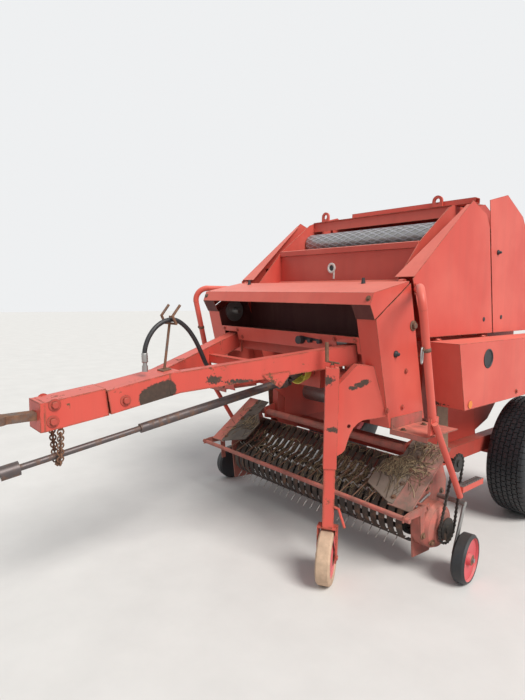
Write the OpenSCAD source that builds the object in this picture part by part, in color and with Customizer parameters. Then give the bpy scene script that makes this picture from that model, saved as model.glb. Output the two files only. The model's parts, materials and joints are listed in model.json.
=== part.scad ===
// Round baler, towed, fixed chamber with steel rollers
// +Z up from the ground, -Y towards the drawbar, +X the machine's left side
// Millimetres. Y is measured from the middle of the machine's length.

/* [Bale chamber] */
// Inner width of the chamber, between its side walls
chamber_w = 1200; // [1150:10:1250]
// Radius of the bale
bale_r = 600; // [590:5:605]
// Height of the chamber's middle above the ground
chamber_z = 1370; // [1365:1:1375]
// Place of the chamber's middle along the machine
chamber_y = 965; // [960:1:970]
// Radius of a chamber roller
roller_r = 70; // [60:1:74]
// Wall of a roller's tube
roller_t = 10; // [5:0.5:12]
// Thickness of the chamber's side walls
wall_t = 6; // [4:1:7]

/* [Net box] */
// Step from the covers' outer plane in to the side of the net box
box_step = 6; // [1:1:16]
// How much further the box's opening reaches than the chamber, each side
mouth_over = 15; // [12:1:20]
// Height of the opening's lower edge
mouth_low = 1338; // [1325:1:1350]
// Height of the opening's upper edge
mouth_top = 1512; // [1500:1:1520]
// Thickness of the box's sheet
sheet_t = 4; // [3:0.5:6]
// Height of the control panel under the opening
panel_h = 92; // [60:1:95]

/* [Covers] */
// Room between a chamber wall and the cover beside it
cover_room = 140; // [136:1:142]
// Thickness of a side cover's sheet
cover_t = 3; // [2:0.5:4]
// How far the lower side boxes stand out from the covers
side_box_out = 214; // [180:2:220]
// Height of the side boxes' lower edge
side_box_low = 932; // [900:5:960]
// Height of the side boxes' top
side_box_top = 1308; // [1290:1:1312]

/* [Drawbar] */
// Half distance between the drawbar's beams where they meet the box
beam_root_x = 545; // [500:5:560]
// Width of a drawbar beam
beam_w = 74; // [60:1:80]
// Depth of a drawbar beam
beam_h = 108; // [90:1:115]
// Wall of the drawbar's box beams
beam_t = 6; // [4:0.5:8]
// Bore of the towing eye
eye_bore = 40; // [33:1:52]
// Thickness of the towing eye
eye_t = 34; // [25:1:45]

/* [Running gear] */
// Outer radius of the main tyres
tyre_r = 423; // [400:1:425]
// Width of the main tyres
tyre_w = 288; // [250:1:295]
// Room between a chamber wall and the tyre
tyre_room = 116; // [108:1:124]
// Rim diameter
rim_d = 400; // [380:5:410]
// Place of the axle along the machine
axle_y = 1485; // [1450:5:1490]

/* [Pickup] */
// How much further the tined reel reaches than the chamber, each side
reel_over = 175; // [150:1:185]
// Radius of the circle of the tine tips
tine_reach = 205; // [195:1:208]
// Radius of the stripper bands
band_r = 140; // [130:1:145]
// Number of stripper bands
bands = 26; // [20:1:27]
// Width of a stripper band
band_w = 43; // [30:1:44]
// Number of tine bars
tine_bars = 4; // [3:1:5]
// Radius of a gauge wheel
gauge_r = 135; // [125:1:140]
// Width of a gauge wheel
gauge_w = 74; // [60:1:78]

/* [Jack] */
// Radius of the jack's wheel
jack_r = 150; // [140:1:155]
// Width of the jack's wheel
jack_w = 76; // [66:1:84]
// Width of the jack's outer tube
jack_tube = 70; // [64:1:76]

/* [Drive shaft] */
// Radius of the outer telescopic tube
pto_outer_r = 24; // [22:1:28]
// Radius of the inner telescopic bar
pto_inner_r = 15; // [13:1:16]
// Spline bore at the free end
pto_bore = 35; // [35:0.1:35]

/* [Hidden] */
$fn = 48;

red = [0.78, 0.22, 0.18];
dark = [0.16, 0.15, 0.15];
rust = [0.40, 0.26, 0.20];
steel = [0.62, 0.62, 0.60];

// Helpers

// A flat plate in a plane across X, from an outline of [y, z] points
module plate_x(x, t, points) {
  translate([x, 0, 0]) rotate([90, 0, 90]) linear_extrude(t) polygon(points);
}

// A round bar along X
module rod_x(x0, x1, y, z, r) {
  translate([x0, y, z]) rotate([0, 90, 0]) cylinder(r = r, h = x1 - x0);
}

// Axes turned so that Z points along v
module along(v) {
  l = norm(v);
  rotate([0, acos(v[2] / l), atan2(v[1], v[0])]) children();
}

// A round bar between two points
module bar(p, q, r) {
  translate(p) along(q - p) cylinder(r = r, h = norm(q - p));
}

// A rectangular bar between two points, w across and h deep, longer by more at each end
module solid_bar(p, q, w, h, more = 0) {
  v = q - p;
  l = norm(v);
  translate(p) rotate([0, -asin(v[2] / l), atan2(v[1], v[0])])
    translate([-more, -w / 2, -h / 2]) cube([l + 2 * more, w, h]);
}

// A rectangular tube between two points, w across and h deep
module box_bar(p, q, w, h, t) {
  difference() {
    solid_bar(p, q, w, h);
    solid_bar(p, q, w - 2 * t, h - 2 * t, 1);
  }
}

// A round bar from p to q and on to end, with an elbow of radius bend_r round the corner q
module bent_bar(p, q, end, bend_r, r) {
  d = (q - p) / norm(q - p);
  v = (end - q) / norm(end - q);
  turn = acos(d * v);
  m = (v - (v * d) * d) / sin(turn);
  n = cross(d, m);
  cut = bend_r * tan(turn / 2);
  c = q - cut * d + bend_r * m;
  bar(p, q - (cut - 4) * d, r);
  multmatrix([[-m[0], d[0], n[0], c[0]], [-m[1], d[1], n[1], c[1]], [-m[2], d[2], n[2], c[2]]])
    rotate_extrude(angle = turn) translate([bend_r, 0]) circle(r + 1);
  bar(q + (cut - 4) * v, end, r);
}

// The same thing on both sides
module both_sides() {
  children();
  mirror([1, 0, 0]) children();
}

// Chamber and split between front and tailgate
chamber_hw = chamber_w / 2;
wall_x = chamber_hw + wall_t;
wall_top = 2141;
cover_x = wall_x + cover_room;
box_hw = cover_x - box_step;
mouth_hw = chamber_hw + mouth_over;
ring_r = bale_r + roller_r + 2;
split_lean = 0.181;
split_gap = 14;
// Y of the tailgate's front edge at a height
function split_y(z) = 890 + (2180 - z) * split_lean;
function ring_point(a) = [chamber_y + ring_r * cos(a), chamber_z + ring_r * sin(a)];

tail_wall_t = wall_t;
tail_hw = chamber_hw - 6;
hinge_y = 868;
hinge_z = 2120;
hinge_r = 15;

// Angles of the rollers round the chamber
top_roller_a = 117;
front_roller_as = [142, 168, 194, 244, 268];
tail_roller_as = [292, 316, 340, 4, 28, 52, 76];

// Net box: front edge leans forward at the top
box_front = [[-245, 1437], [-95, 850]];
box_rear = [[51, 1630], [249, 856]];
// Y of the box's front face at a height
function front_y(z) = box_front[0][0]
  + (box_front[0][1] - z) * (box_front[1][0] - box_front[0][0]) / (box_front[0][1] - box_front[1][1]);
lid_front = [-270, 1575];
lid_rear = [55, 1645];
lid_lip = [-295, mouth_top];
lid_foot = [-253, 1437];
lid_gap = 6;
// Shift of the cheek's lower edge, square to the box's top edge
box_edge = box_rear[0] - box_front[0];
lid_lift = [-box_edge[1], box_edge[0]] * lid_gap / norm(box_edge);
lid_hw = box_hw - 2;
lid_eye_w = 30;
lid_eye_x = mouth_hw + 65;
// Radial play of a pin in its eye
pin_gap = 0.05;

// Drawbar beams
root_y = -150;
root_z = 1243;
head_y = -1050;
head_z = 1098;
head_x = 62;
nose_y = -1670;
nose_z = 1010;
neck_y = -1385;
neck_z = 1044;
tie_y = -530;
root_t = 14;
// Middle of a drawbar beam at a place along the machine
function beam_at(y) = let (k = (y - head_y) / (root_y - head_y))
  [head_x + k * (beam_root_x - head_x), y, head_z + k * (root_z - head_z)];

hanger_y = -560;
head_w = 190;
head_h = 116;
module drawbar() {
  color(red) {
    both_sides() {
      // Beam, cut where it meets the head
      difference() {
        box_bar([head_x, head_y, head_z], beam_at(root_y - 10), beam_w, beam_h, beam_t);
        solid_bar([0, neck_y, neck_z], [0, head_y + 60, head_z + 8], head_w, head_h);
      }
      // Root plate bolted to the cross beam
      translate([beam_root_x - 70, root_y, root_z - 85]) cube([mouth_hw - beam_root_x + 70, root_t, 170]);
    }
    // Bolted bracket that the drive shaft parks on
    translate([beam_at(hanger_y)[0], hanger_y, beam_at(hanger_y)[2] - beam_h / 2])
      rotate([0, 0, atan2(root_y - head_y, beam_root_x - head_x)]) {
        translate([0, 3 - beam_w / 2, 0]) rotate([90, 0, 0]) linear_extrude(10)
          polygon([[-72, 12], [74, 30], [74, 12], [34, -46], [20, -56], [4, -46], [-50, -10]]);
        translate([22, -beam_w / 2, -32]) rotate([90, 0, 0]) cylinder(r = 9, h = 16);
      }
  }
}

module drawbar_head() {
  color(red) {
    // Head, in two steps
    box_bar([0, neck_y, neck_z], [0, head_y + 60, head_z + 8], head_w, head_h, beam_t);
    difference() {
      box_bar([0, nose_y - 12, nose_z - 1], [0, neck_y, neck_z], 150, 130, beam_t + 2);
      translate([-80, nose_y - 30, nose_z - 90]) cube([160, 30, 180]);
    }
    // Cross tie between the beams
    tie_x = beam_at(tie_y)[0];
    tie_z = beam_at(tie_y)[2] - 25;
    difference() {
      box_bar([-tie_x, tie_y, tie_z], [tie_x, tie_y, tie_z], 60, 50, 5);
      both_sides() solid_bar([head_x, head_y, head_z], beam_at(root_y), beam_w, beam_h);
    }
  }
}

eye_y = -1856;
module tow_eye() {
  color(rust) difference() {
    union() {
      translate([0, eye_y, nose_z - eye_t / 2]) cylinder(r = 52, h = eye_t);
      translate([-32, eye_y, nose_z - eye_t / 2]) cube([64, nose_y - 20 - eye_y, eye_t]);
      translate([-75, nose_y - 20, nose_z - 65]) cube([150, 20, 130]);
    }
    translate([0, eye_y, nose_z - eye_t]) cylinder(d = eye_bore, h = 2 * eye_t);
  }
}

// Outline of the net box's side, with an offset inward from its edges
module net_box() {
  color(red) both_sides() {
    plate_x(box_hw - sheet_t, sheet_t, [box_front[0], box_rear[0], box_rear[1], box_front[1]]);
    // Front face of the post
    post = [for (p = box_front) p, [box_front[1][0] + sheet_t, box_front[1][1]],
      [box_front[0][0] + sheet_t, box_front[0][1]]];
    plate_x(mouth_hw, box_hw - sheet_t - mouth_hw, post);
    // Inner cheek, carries the net roll
    plate_x(mouth_hw, sheet_t, [[front_y(1437), 1437], [-20, 1592], [60, 1400], [100, 1240],
      [front_y(1165) + 40, 1165], [front_y(1165), 1165]]);
    // Rear face
    plate_x(wall_x, box_hw - sheet_t - wall_x,
      [box_rear[0] - [sheet_t, 0], box_rear[0], box_rear[1], box_rear[1] - [sheet_t, 0]]);
    // Ears and pin of the lid's hinge
    for (x = [lid_eye_x - lid_eye_w / 2 - 8, lid_eye_x + lid_eye_w / 2 + 2])
      plate_x(x, 6, [box_rear[0] - [1, 40], box_rear[0] - [1, 5], lid_rear + [-9, -3], lid_rear + [-5, 8],
        lid_rear + [6, 8], lid_rear + [9, -3], box_rear[0] + [9, -40]]);
    rod_x(lid_eye_x - lid_eye_w / 2 - 8, lid_eye_x + lid_eye_w / 2 + 8, lid_rear[0], lid_rear[1], 5);
  }
}

panel_low = mouth_low - panel_h;
module control_panel() {
  color(red) difference() {
    union() {
      plate_x(-mouth_hw, 2 * mouth_hw, [[front_y(mouth_low), mouth_low],
        [front_y(panel_low), panel_low], [front_y(panel_low) + 30, panel_low],
        [front_y(panel_low) + 30, panel_low + sheet_t], [front_y(panel_low) + 6, panel_low + sheet_t],
        [front_y(mouth_low) + sheet_t, mouth_low - sheet_t], [60, mouth_low - 24],
        [60, mouth_low - 20], [front_y(mouth_low) + 2, mouth_low]]);
      // Rear wall of the net box
      plate_x(-mouth_hw, 2 * mouth_hw, [[60, mouth_low - 24], [64, mouth_low - 24], [44, 1600],
        [40, 1600]]);
    }
    // Slots for the drawbar's beams
    both_sides() translate([beam_at(-235)[0] - beam_w / 2 - 14, -260, panel_low - 1])
      cube([beam_root_x - beam_at(-235)[0] + beam_w + 24, 200, root_z + beam_h / 2 + 6 - panel_low]);
  }
  color(dark) {
    // Control knobs, by place, radius and length
    for (knob = [[180, 24, 36], [255, 12, 24], [330, 12, 24]])
      translate([knob[0], front_y(mouth_low - 45), mouth_low - 45])
        rotate([90, 0, 0]) cylinder(r = knob[1], h = knob[2]);
  }
}

net_y = -110;
net_z = 1440;
module net_brake() {
  color(steel) {
    rod_x(-mouth_hw, -mouth_hw + 10, net_y, net_z, 75);
    rod_x(-mouth_hw + 10, -mouth_hw + 70, net_y, net_z, 22);
    rod_x(mouth_hw - 60, mouth_hw, net_y, net_z, 22);
  }
}

module net_lid() {
  lid_end = lid_rear + (lid_front - lid_rear) * 16 / norm(lid_front - lid_rear);
  color(red) {
    // Top sheet and lip
    plate_x(-lid_hw, 2 * lid_hw, [lid_front, lid_end, lid_end - [0, sheet_t],
      lid_front + [4, -sheet_t], lid_lip + [3, -1], lid_lip]);
    both_sides() {
      // Cheek, cut along the box's top edge, and its front face
      plate_x(lid_hw - cover_t, cover_t, [lid_front, lid_lip, lid_foot, box_front[0] + lid_lift,
        box_rear[0] + lid_lift - [12, 8], lid_end - [0, sheet_t], lid_end]);
      plate_x(mouth_hw + 2, lid_hw - mouth_hw - 2, [lid_lip, lid_lip + [3, 0],
        lid_foot + [3, 0], lid_foot]);
      // Hinge eye
      difference() {
        union() {
          rod_x(lid_eye_x - lid_eye_w / 2, lid_eye_x + lid_eye_w / 2, lid_rear[0], lid_rear[1], 9);
          plate_x(lid_eye_x - lid_eye_w / 2, lid_eye_w, [lid_end + [-6, 0], lid_rear + [0, 3],
            lid_rear - [0, 4], lid_end - [6, sheet_t]]);
        }
        rod_x(lid_eye_x - lid_eye_w, lid_eye_x + lid_eye_w, lid_rear[0], lid_rear[1], 5 + pin_gap);
      }
    }
  }
  // Rubber buffers on the lid
  color(dark) for (x = [-560, 470])
    translate([x, -15, 1622]) cylinder(r1 = 14, r2 = 8, h = 40);
}

// Chamber side walls of the front housing
wall_low = 560;
// Hinges of the side boxes
side_hinge_x = cover_x + 8;
side_eye_ys = [330, 880];
side_eye_w = 30;
side_box_x = cover_x + side_box_out;
module chamber_walls() {
  color(red) both_sides() {
    difference() {
      plate_x(chamber_hw, wall_t, [[110, 1640], [331, 1885], [640, 2118], [700, wall_top], [845, wall_top],
        [split_y(2110) - split_gap, 2110], [split_y(wall_low) - split_gap, wall_low], [400, wall_low],
        [400, 740], [box_rear[1][0], 856], [110, 1240]]);
      rod_x(chamber_hw - 1, wall_x + 1, ring_point(top_roller_a)[0], ring_point(top_roller_a)[1],
        20 + pin_gap);
    }
    // Arms and pins that carry the side box
    for (y = side_eye_ys) {
      translate([wall_x, y + side_eye_w / 2 + 2, side_box_top - 12]) cube([side_hinge_x + 8 - wall_x, 12, 20]);
      translate([side_hinge_x, y - side_eye_w / 2 - 4, side_box_top]) rotate([-90, 0, 0])
        cylinder(r = 5, h = side_eye_w + 12);
    }
  }
}

module chamber_front() {
  // Recessed wall over the net box, folded forward at its foot, with a cross bar along its top
  color(red)
    plate_x(-chamber_hw, chamber_w, [[331, 1664], [331, 1850], [318, 1850], [318, 1885],
      [345, 1892], [352, 1850], [335, 1850], [335, 1660], [202, 1596], [200, 1600]]);
}

// Beam over the chamber: sloping fascia, top sheet, a tube along it and the lifting ears
fascia_y = 688;
fascia_low = 2068;
top_beam_z = 2138;
top_tube_h = 34;
ear_x = 488;
ear_t = 14;
ear_y = 710;
ear_z = top_beam_z + 42;
ear_hole_r = 18;
module top_beam() {
  color(red) {
    plate_x(-chamber_hw, chamber_w, [[fascia_y, fascia_low], [fascia_y + 8, top_beam_z],
      [fascia_y - 6, top_beam_z], [fascia_y - 6, top_beam_z + 4], [792, top_beam_z + 4],
      [792, fascia_low + 30], [788, fascia_low + 30], [788, top_beam_z], [fascia_y + 12, top_beam_z],
      [fascia_y + 4, fascia_low]]);
    box_bar([-230, ear_y + 35, top_beam_z + 4 + top_tube_h / 2],
      [wall_x + 130, ear_y + 35, top_beam_z + 4 + top_tube_h / 2], 60, top_tube_h, 4);
    // Lifting ears
    for (x = [-ear_x, ear_x]) translate([x, ear_y, ear_z]) rotate([90, 0, 0]) difference() {
      union() {
        cylinder(r = 36, h = ear_t);
        translate([-36, -38, 0]) cube([72, 38, ear_t]);
      }
      translate([0, 0, -1]) cylinder(r = ear_hole_r, h = ear_t + 2);
    }
  }
  // Hinge pins of the tailgate
  color(steel) both_sides() rod_x(wall_x, chamber_hw + 60, hinge_y, hinge_z, hinge_r);
}

module rollers(angles, hw) {
  for (a = angles) difference() {
    rod_x(-hw, hw, ring_point(a)[0], ring_point(a)[1], roller_r);
    rod_x(-hw + 8, hw - 8, ring_point(a)[0], ring_point(a)[1], roller_r - roller_t);
    rod_x(-hw - 1, hw + 1, ring_point(a)[0], ring_point(a)[1], 19);
  }
}

module front_rollers() {
  color(steel) rollers(front_roller_as, chamber_hw);
}

module top_roller() {
  color(steel) {
    rollers([top_roller_a], chamber_hw - 6);
    rod_x(-wall_x - 12, wall_x + 12, ring_point(top_roller_a)[0], ring_point(top_roller_a)[1], 20);
  }
}

// Upper side covers of the front housing
cover_low = 1328;
cover_outline = [[192, cover_low], [59, 1654], [675, 2150], [858, 2089],
  [split_y(2010) - split_gap, 2010], [split_y(cover_low) - split_gap, cover_low]];
module upper_cover() {
  color(red) {
    plate_x(cover_x - cover_t, cover_t, cover_outline);
    // Brackets to the chamber's wall
    for (b = [[300, 1400], [840, 1400], [300, 1760], [680, 2000]])
      translate([wall_x, b[0], b[1]]) cube([cover_room - cover_t, 30, 4]);
    // Sloping front face, narrowing to the apex
    hull() {
      translate([0, 72, 1665]) rotate([38.8, 0, 0]) translate([620, 0, 0]) cube([cover_x - 620, 1, cover_t]);
      translate([0, 640, 2121]) rotate([38.8, 0, 0]) translate([cover_x - 22, 0, 0]) cube([22, 1, cover_t]);
    }
  }
}
module upper_cover_left() { upper_cover(); }
module upper_cover_right() { mirror([1, 0, 0]) upper_cover(); }

// Tube bow beside the box, its lower guard bar
bow_x = box_hw + 236;
bow_r = 20;
bow_bend = 90;
bow_low = [bow_x, -48, 885];
bow_foot = [bow_x + 24, 222, 470];
step_h = 34;
step_teeth = 8;
module guard_bow() {
  color(red) {
    difference() {
      bent_bar([cover_x - 10, 120, 1600], [bow_x, -225, 1602], bow_low, bow_bend, bow_r);
      translate([cover_x - 60, 60, 1560]) cube([61, 120, 80]);
    }
    // Flange on the side cover
    translate([cover_x, 78, 1570]) cube([6, 54, 60]);
    // Flat lug and the bar below it
    translate([bow_x - 8, -90, 860]) cube([16, 75, 90]);
    bar([bow_x + 24, -77, 923], bow_foot, 17);
    rod_x(bow_x, bow_x + 34, -64, 905, 10);
    // Foot step with a row of teeth along its top
    translate([bow_x + 6, bow_foot[1] - 14, bow_foot[2] + 28]) difference() {
      cube([40, 232, step_h]);
      translate([4, 30, -1]) cube([32, 192, step_h - 3]);
    }
    for (i = [0:step_teeth - 1]) translate([bow_x + 8, bow_foot[1] + 22 + i * 24, bow_foot[2] + 28 + step_h])
      cube([36, 10, 5]);
  }
}
module guard_bow_left() { guard_bow(); }
module guard_bow_right() { mirror([1, 0, 0]) guard_bow(); }

module steps() {
  color(red) both_sides() {
    translate([box_hw, -80, 838]) cube([bow_x - 10 - box_hw, 300, 6]);
    translate([box_hw, -86, 816]) cube([bow_x - 10 - box_hw, 6, 28]);
    translate([box_hw, -80, 844]) cube([5, 300, 60]);
  }
}

rail_low = 480;
rail_h = 100;
rail_t = 6;
lift_r = 24;
module chassis() {
  color(red) {
    both_sides() {
      // Rail, and the strut up to the chamber wall
      box_bar([wall_x + 40, 330, rail_low + rail_h / 2], [wall_x + 40, 1570, rail_low + rail_h / 2],
        80, rail_h, rail_t);
      translate([wall_x, 330, rail_low + rail_h]) difference() {
        cube([60, 70, 620]);
        translate([rail_t, rail_t, -1]) cube([60 - 2 * rail_t, 70 - 2 * rail_t, 622]);
      }
      rod_x(wall_x, cyl_x + 20, cyl_foot[0], cyl_foot[1], hinge_r);
      // Bearing plate of the pickup's lift tube
      difference() {
        plate_x(wall_x + 26, 14, [[225, 600], [225, 680], [330, 700], [355, 700], [355, 577],
          [322, 577]]);
        rod_x(wall_x, wall_x + 80, lift_y, lift_z, lift_r + pin_gap);
      }
    }
    box_bar([-wall_x, 600, rail_low + 40], [wall_x, 600, rail_low + 40], 80, 80, rail_t);
    // Cross beam behind the control panel, carries the drawbar
    box_bar([-mouth_hw, root_y + root_t + 40, root_z - 30], [mouth_hw, root_y + root_t + 40, root_z - 30],
      80, 60, rail_t);
  }
}

axle_z = tyre_r;
tyre_x = wall_x + tyre_room;
spindle_r = 30;
module axle() {
  color(red) box_bar([-wall_x - 86, axle_y, (axle_z - 45 + rail_low) / 2],
    [wall_x + 86, axle_y, (axle_z - 45 + rail_low) / 2], 100, rail_low - axle_z + 45, 10);
  color(red) both_sides() translate([wall_x + 76, axle_y - 50, axle_z - 45])
    cube([10, 100, rail_low - axle_z + 45]);
  color(steel) both_sides() rod_x(wall_x + 86, tyre_x + 208, axle_y, axle_z, spindle_r);
}

// A tyre turned round the X axis, standing from x0 outward
module tyre_ring(r, w, rim_r, x0) {
  shoulder = w * 0.12;
  translate([x0, 0, 0]) rotate([0, 90, 0]) rotate_extrude($fn = 64) polygon([
    [rim_r, w * 0.14], [rim_r + 25, w * 0.05], [(r + rim_r) / 2, 0], [r - 28, shoulder * 0.4],
    [r - 4, shoulder], [r, w * 0.3], [r, w * 0.7], [r - 4, w - shoulder], [r - 28, w - shoulder * 0.4],
    [(r + rim_r) / 2, w], [rim_r + 25, w * 0.95], [rim_r, w * 0.86],
    // Inside of the carcass
    [rim_r, w * 0.86 - 24], [rim_r + 25, w * 0.95 - 24], [(r + rim_r) / 2, w - 18], [r - 42, w - shoulder],
    [r - 30, w * 0.7], [r - 30, w * 0.3], [r - 42, shoulder], [(r + rim_r) / 2, 18],
    [rim_r + 25, w * 0.05 + 24], [rim_r, w * 0.14 + 24]]);
}

module main_tyre() {
  color(dark) translate([0, axle_y, axle_z]) tyre_ring(tyre_r, tyre_w, rim_d / 2, tyre_x);
}
module main_rim() {
  color(red) translate([tyre_x, axle_y, axle_z]) rotate([0, 90, 0]) difference() {
    rotate_extrude($fn = 64) polygon([[rim_d / 2, 40], [rim_d / 2, tyre_w - 40],
      [rim_d / 2 - 6, tyre_w - 40], [rim_d / 2 - 22, tyre_w - 60], [rim_d / 2 - 22, 200],
      [120, 178], [60, 178], [60, 226], [0, 226], [0, 218], [spindle_r + 0.05, 218],
      [spindle_r + 0.05, 60], [60, 60], [60, 168], [120, 168], [rim_d / 2 - 30, 190],
      [rim_d / 2 - 28, 60], [rim_d / 2 - 6, 40]]);
  }
}
module tyre_left() { main_tyre(); }
module tyre_right() { mirror([1, 0, 0]) main_tyre(); }
module rim_left() { main_rim(); }
module rim_right() { mirror([1, 0, 0]) main_rim(); }

// Jack beside the left beam
jack_x = beam_root_x + 26;
jack_y = -375;
jack_top = 1184;
jack_low = 647;
jack_t = 5;
jack_turn = 45;
// Direction of the wheel's axle in plan
jack_axle_turn = 32;
// Wing beside the jack: its turn in plan, and its outline along that plane
wing_turn = 30.2;
wing_place = [jack_x + 40, jack_y + 65, 0];
wing_outline = [[-42, 1093], [57, 1196], [174, 1184], [260, 917], [100, 899], [72, 884], [48, 858],
  [30, 823], [15, 780], [5, 740], [-12, 723], [-48, 704]];
module jack_tube_solid(grow, z0, z1) {
  w = jack_tube / 2 + grow;
  translate([jack_x, jack_y, 0]) rotate([0, 0, jack_turn]) translate([-w, -w, z0])
    cube([2 * w, 2 * w, z1 - z0]);
}
module jack_mount() {
  color(red) {
    difference() {
      jack_tube_solid(0, jack_low, jack_top);
      jack_tube_solid(-jack_t, jack_low - 1, jack_top - 10);
    }
    // Wing from the jack's tube to the post, arched below, with a top flange
    difference() {
      translate(wing_place) rotate([0, 0, -wing_turn]) {
        difference() {
          plate_x(0, 6, wing_outline);
          rod_x(-1, 7, 22, 869, 10);
        }
        plate_x(-46, 52, [[57, 1198], [174, 1187], [174, 1181], [60, 1191], [-38, 1089], [-42, 1094]]);
      }
      jack_tube_solid(-0.5, jack_low, jack_top + 40);
      // Trimmed to the face of the post
      plate_x(500, 300, [[front_y(1300), 1300], [front_y(700), 700], [200, 700], [200, 1300]]);
    }
    // Collar under the crank
    translate([jack_x, jack_y, jack_top]) cylinder(r = 14, h = 14);
  }
  color(rust) {
    // Crank: spindle, arm and upright grip
    translate([jack_x, jack_y, jack_top + 14]) cylinder(r = 9, h = 16);
    bar([jack_x + 46, jack_y, jack_top + 26], [jack_x - 44, jack_y, jack_top + 28], 5);
    bar([jack_x - 38, jack_y, jack_top + 26], [jack_x - 44, jack_y, jack_top + 128], 10);
  }
}

module jack_leg() {
  color(rust) {
    play = 0.3;
    foot = jack_r + jack_r + 22;
    difference() {
      jack_tube_solid(-jack_t - play, foot, foot + 600);
      jack_tube_solid(-jack_t - play - 5, foot + 8, foot + 601);
    }
    // Fork, its cross plate and the axle
    translate([jack_x, jack_y, jack_r]) rotate([0, 0, jack_axle_turn]) {
      for (s = [-1, 1]) translate([s * (jack_w / 2 + 12) - 4, -24, -24]) cube([8, 48, jack_r + 48]);
      translate([-jack_w / 2 - 16, -30, jack_r + 14]) cube([jack_w + 32, 60, 10]);
      rotate([0, 90, 0]) translate([0, 0, -jack_w / 2 - 22]) cylinder(r = 12, h = jack_w + 44);
    }
    // Handle of the swivel lock
    bar([jack_x + 20, jack_y, foot + 120], [jack_x + 68, jack_y + 8, foot + 112], 7);
    bar([jack_x + 64, jack_y + 8, foot + 116], [jack_x + 104, jack_y + 16, foot + 20], 7);
  }
}

module jack_wheel() {
  color([0.55, 0.5, 0.43]) translate([jack_x, jack_y, jack_r]) rotate([0, 0, jack_axle_turn])
    rotate([0, 90, 0]) rotate_extrude() polygon([[12.05, -jack_w / 2], [44, -jack_w / 2],
      [jack_r - 46, -jack_w / 2 + 16], [jack_r - 34, -jack_w / 2], [jack_r - 8, -jack_w / 2],
      [jack_r, -jack_w / 2 + 8], [jack_r, jack_w / 2 - 8], [jack_r - 8, jack_w / 2],
      [jack_r - 34, jack_w / 2], [jack_r - 46, jack_w / 2 - 16], [44, jack_w / 2], [12.05, jack_w / 2]]);
}

module gearbox() {
  color(red) {
    translate([-40, -60, 985]) cube([240, 200, 190]);
    rod_x(200, box_hw - sheet_t, 40, 1080, 28);
    // Foot on the cross beam
    translate([20, -130, 1169]) cube([140, 72, 14]);
    translate([100, -60, 1088]) rotate([90, 0, 0]) cylinder(r = 50, h = 40);
  }
}
module input_guard() {
  color([0.75, 0.68, 0.1]) translate([100, -100, 1088]) rotate([90, 0, 0]) difference() {
    cylinder(r1 = 60, r2 = 78, h = 70);
    translate([0, 0, 4]) cylinder(r1 = 55, r2 = 75, h = 70);
    translate([0, 0, -1]) cylinder(r = 34, h = 70);
  }
}

// Drive shaft, parked
pto_rear = [120, -262, 1045];
pto_front = [0, -1760, 786];
pto_v = pto_front - pto_rear;
pto_l = norm(pto_v);
module pto_axes(d) {
  translate(pto_rear + pto_v * d / pto_l) along(pto_v) children();
}
module pto_outer() {
  color(rust) {
    pto_axes(60) difference() {
      cylinder(r = pto_outer_r, h = 900);
      translate([0, 0, 30]) cylinder(r = pto_inner_r + 0.3, h = 900);
    }
    pto_axes(28) cylinder(r1 = 40, r2 = 34, h = 52);
    // Yokes and cross of the joint
    pto_axes(0) {
      for (s = [-1, 1]) translate([s * 26 - 5, -15, -14]) cube([10, 30, 46]);
      rotate([0, 90, 0]) translate([0, 0, -34]) cylinder(r = 9, h = 68);
      rotate([90, 0, 0]) translate([0, 0, -34]) cylinder(r = 9, h = 68);
    }
    bar([100, -100, 1088], [100, -150, 1088], 17);
    bar([100, -130, 1088], [118, -250, 1050], 24);
  }
}
module pto_inner() {
  color(steel) {
    pto_axes(450) cylinder(r = pto_inner_r, h = pto_l - 450);
    pto_axes(pto_l) difference() {
      cylinder(r = 32, h = 80);
      translate([0, 0, 10]) cylinder(d = pto_bore, h = 80);
    }
  }
}
chain_y = -1600;
// Links of the parking chain: ring radius, most spacing, and the radius in which they pass the shaft
link_r = 14;
link_pitch = 19.0;
link_wrap = 37;
module link(p, v, turned) {
  translate(p) along(v) rotate([0, 0, turned ? 90 : 0]) rotate([90, 0, 0])
    rotate_extrude($fn = 10) translate([link_r, 0]) circle(4, $fn = 6);
}
module pto_chain() {
  c = pto_rear + pto_v * (pto_rear[1] - chain_y) / (pto_rear[1] - pto_front[1]);
  color(dark) for (s = [-1, 1]) {
    // Lug under the drawbar's head, the straight run and a half of the bend under the shaft
    translate([s * 60 - 4, chain_y - 10, 940]) cube([8, 20, 11.8]);
    top = [s * 60, chain_y, 940];
    v = [c[0] + s * link_wrap, chain_y, c[2]] - top;
    n = 2 * ceil(norm(v) / link_pitch / 2);
    for (i = [0:n - 1]) link(top + v * (i + 0.5) / n, v, i % 2 == (s > 0 ? 0 : 1));
    for (i = [0:2]) {
      a = -90 + s * (15 + 30 * i);
      link([c[0] + link_wrap * cos(a), chain_y, c[2] + link_wrap * sin(a)], [-sin(a), 0, cos(a)],
        i % 2 == (s > 0 ? 0 : 1));
    }
  }
}

// Top of the drawbar's head at a place along the machine, and its slope
head_slope = atan2(head_z + 8 - neck_z, head_y + 60 - neck_y);
function head_top(y) = neck_z + (y - neck_y) * tan(head_slope) + 58 / cos(head_slope);
rest_y = -1003;
rest_z = 1400;
module hose_rest() {
  color(rust) {
    translate([0, -1040, head_top(-1040)]) rotate([head_slope, 0, 0]) translate([-30, -25, 0])
      cube([60, 50, 6]);
    bar([0, -1040, head_top(-1040) + 3], [0, rest_y, rest_z + 40], 7);
    // Cross bar and the two upturned hooks
    bar([-62, rest_y, rest_z], [62, rest_y, rest_z], 6);
    for (s = [-1, 1]) {
      bar([s * 56, rest_y, rest_z], [s * 56, rest_y - 22, rest_z + 44], 7);
      bar([s * 56, rest_y - 20, rest_z + 40], [s * 56, rest_y + 24, rest_z + 96], 7);
    }
  }
}

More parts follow.
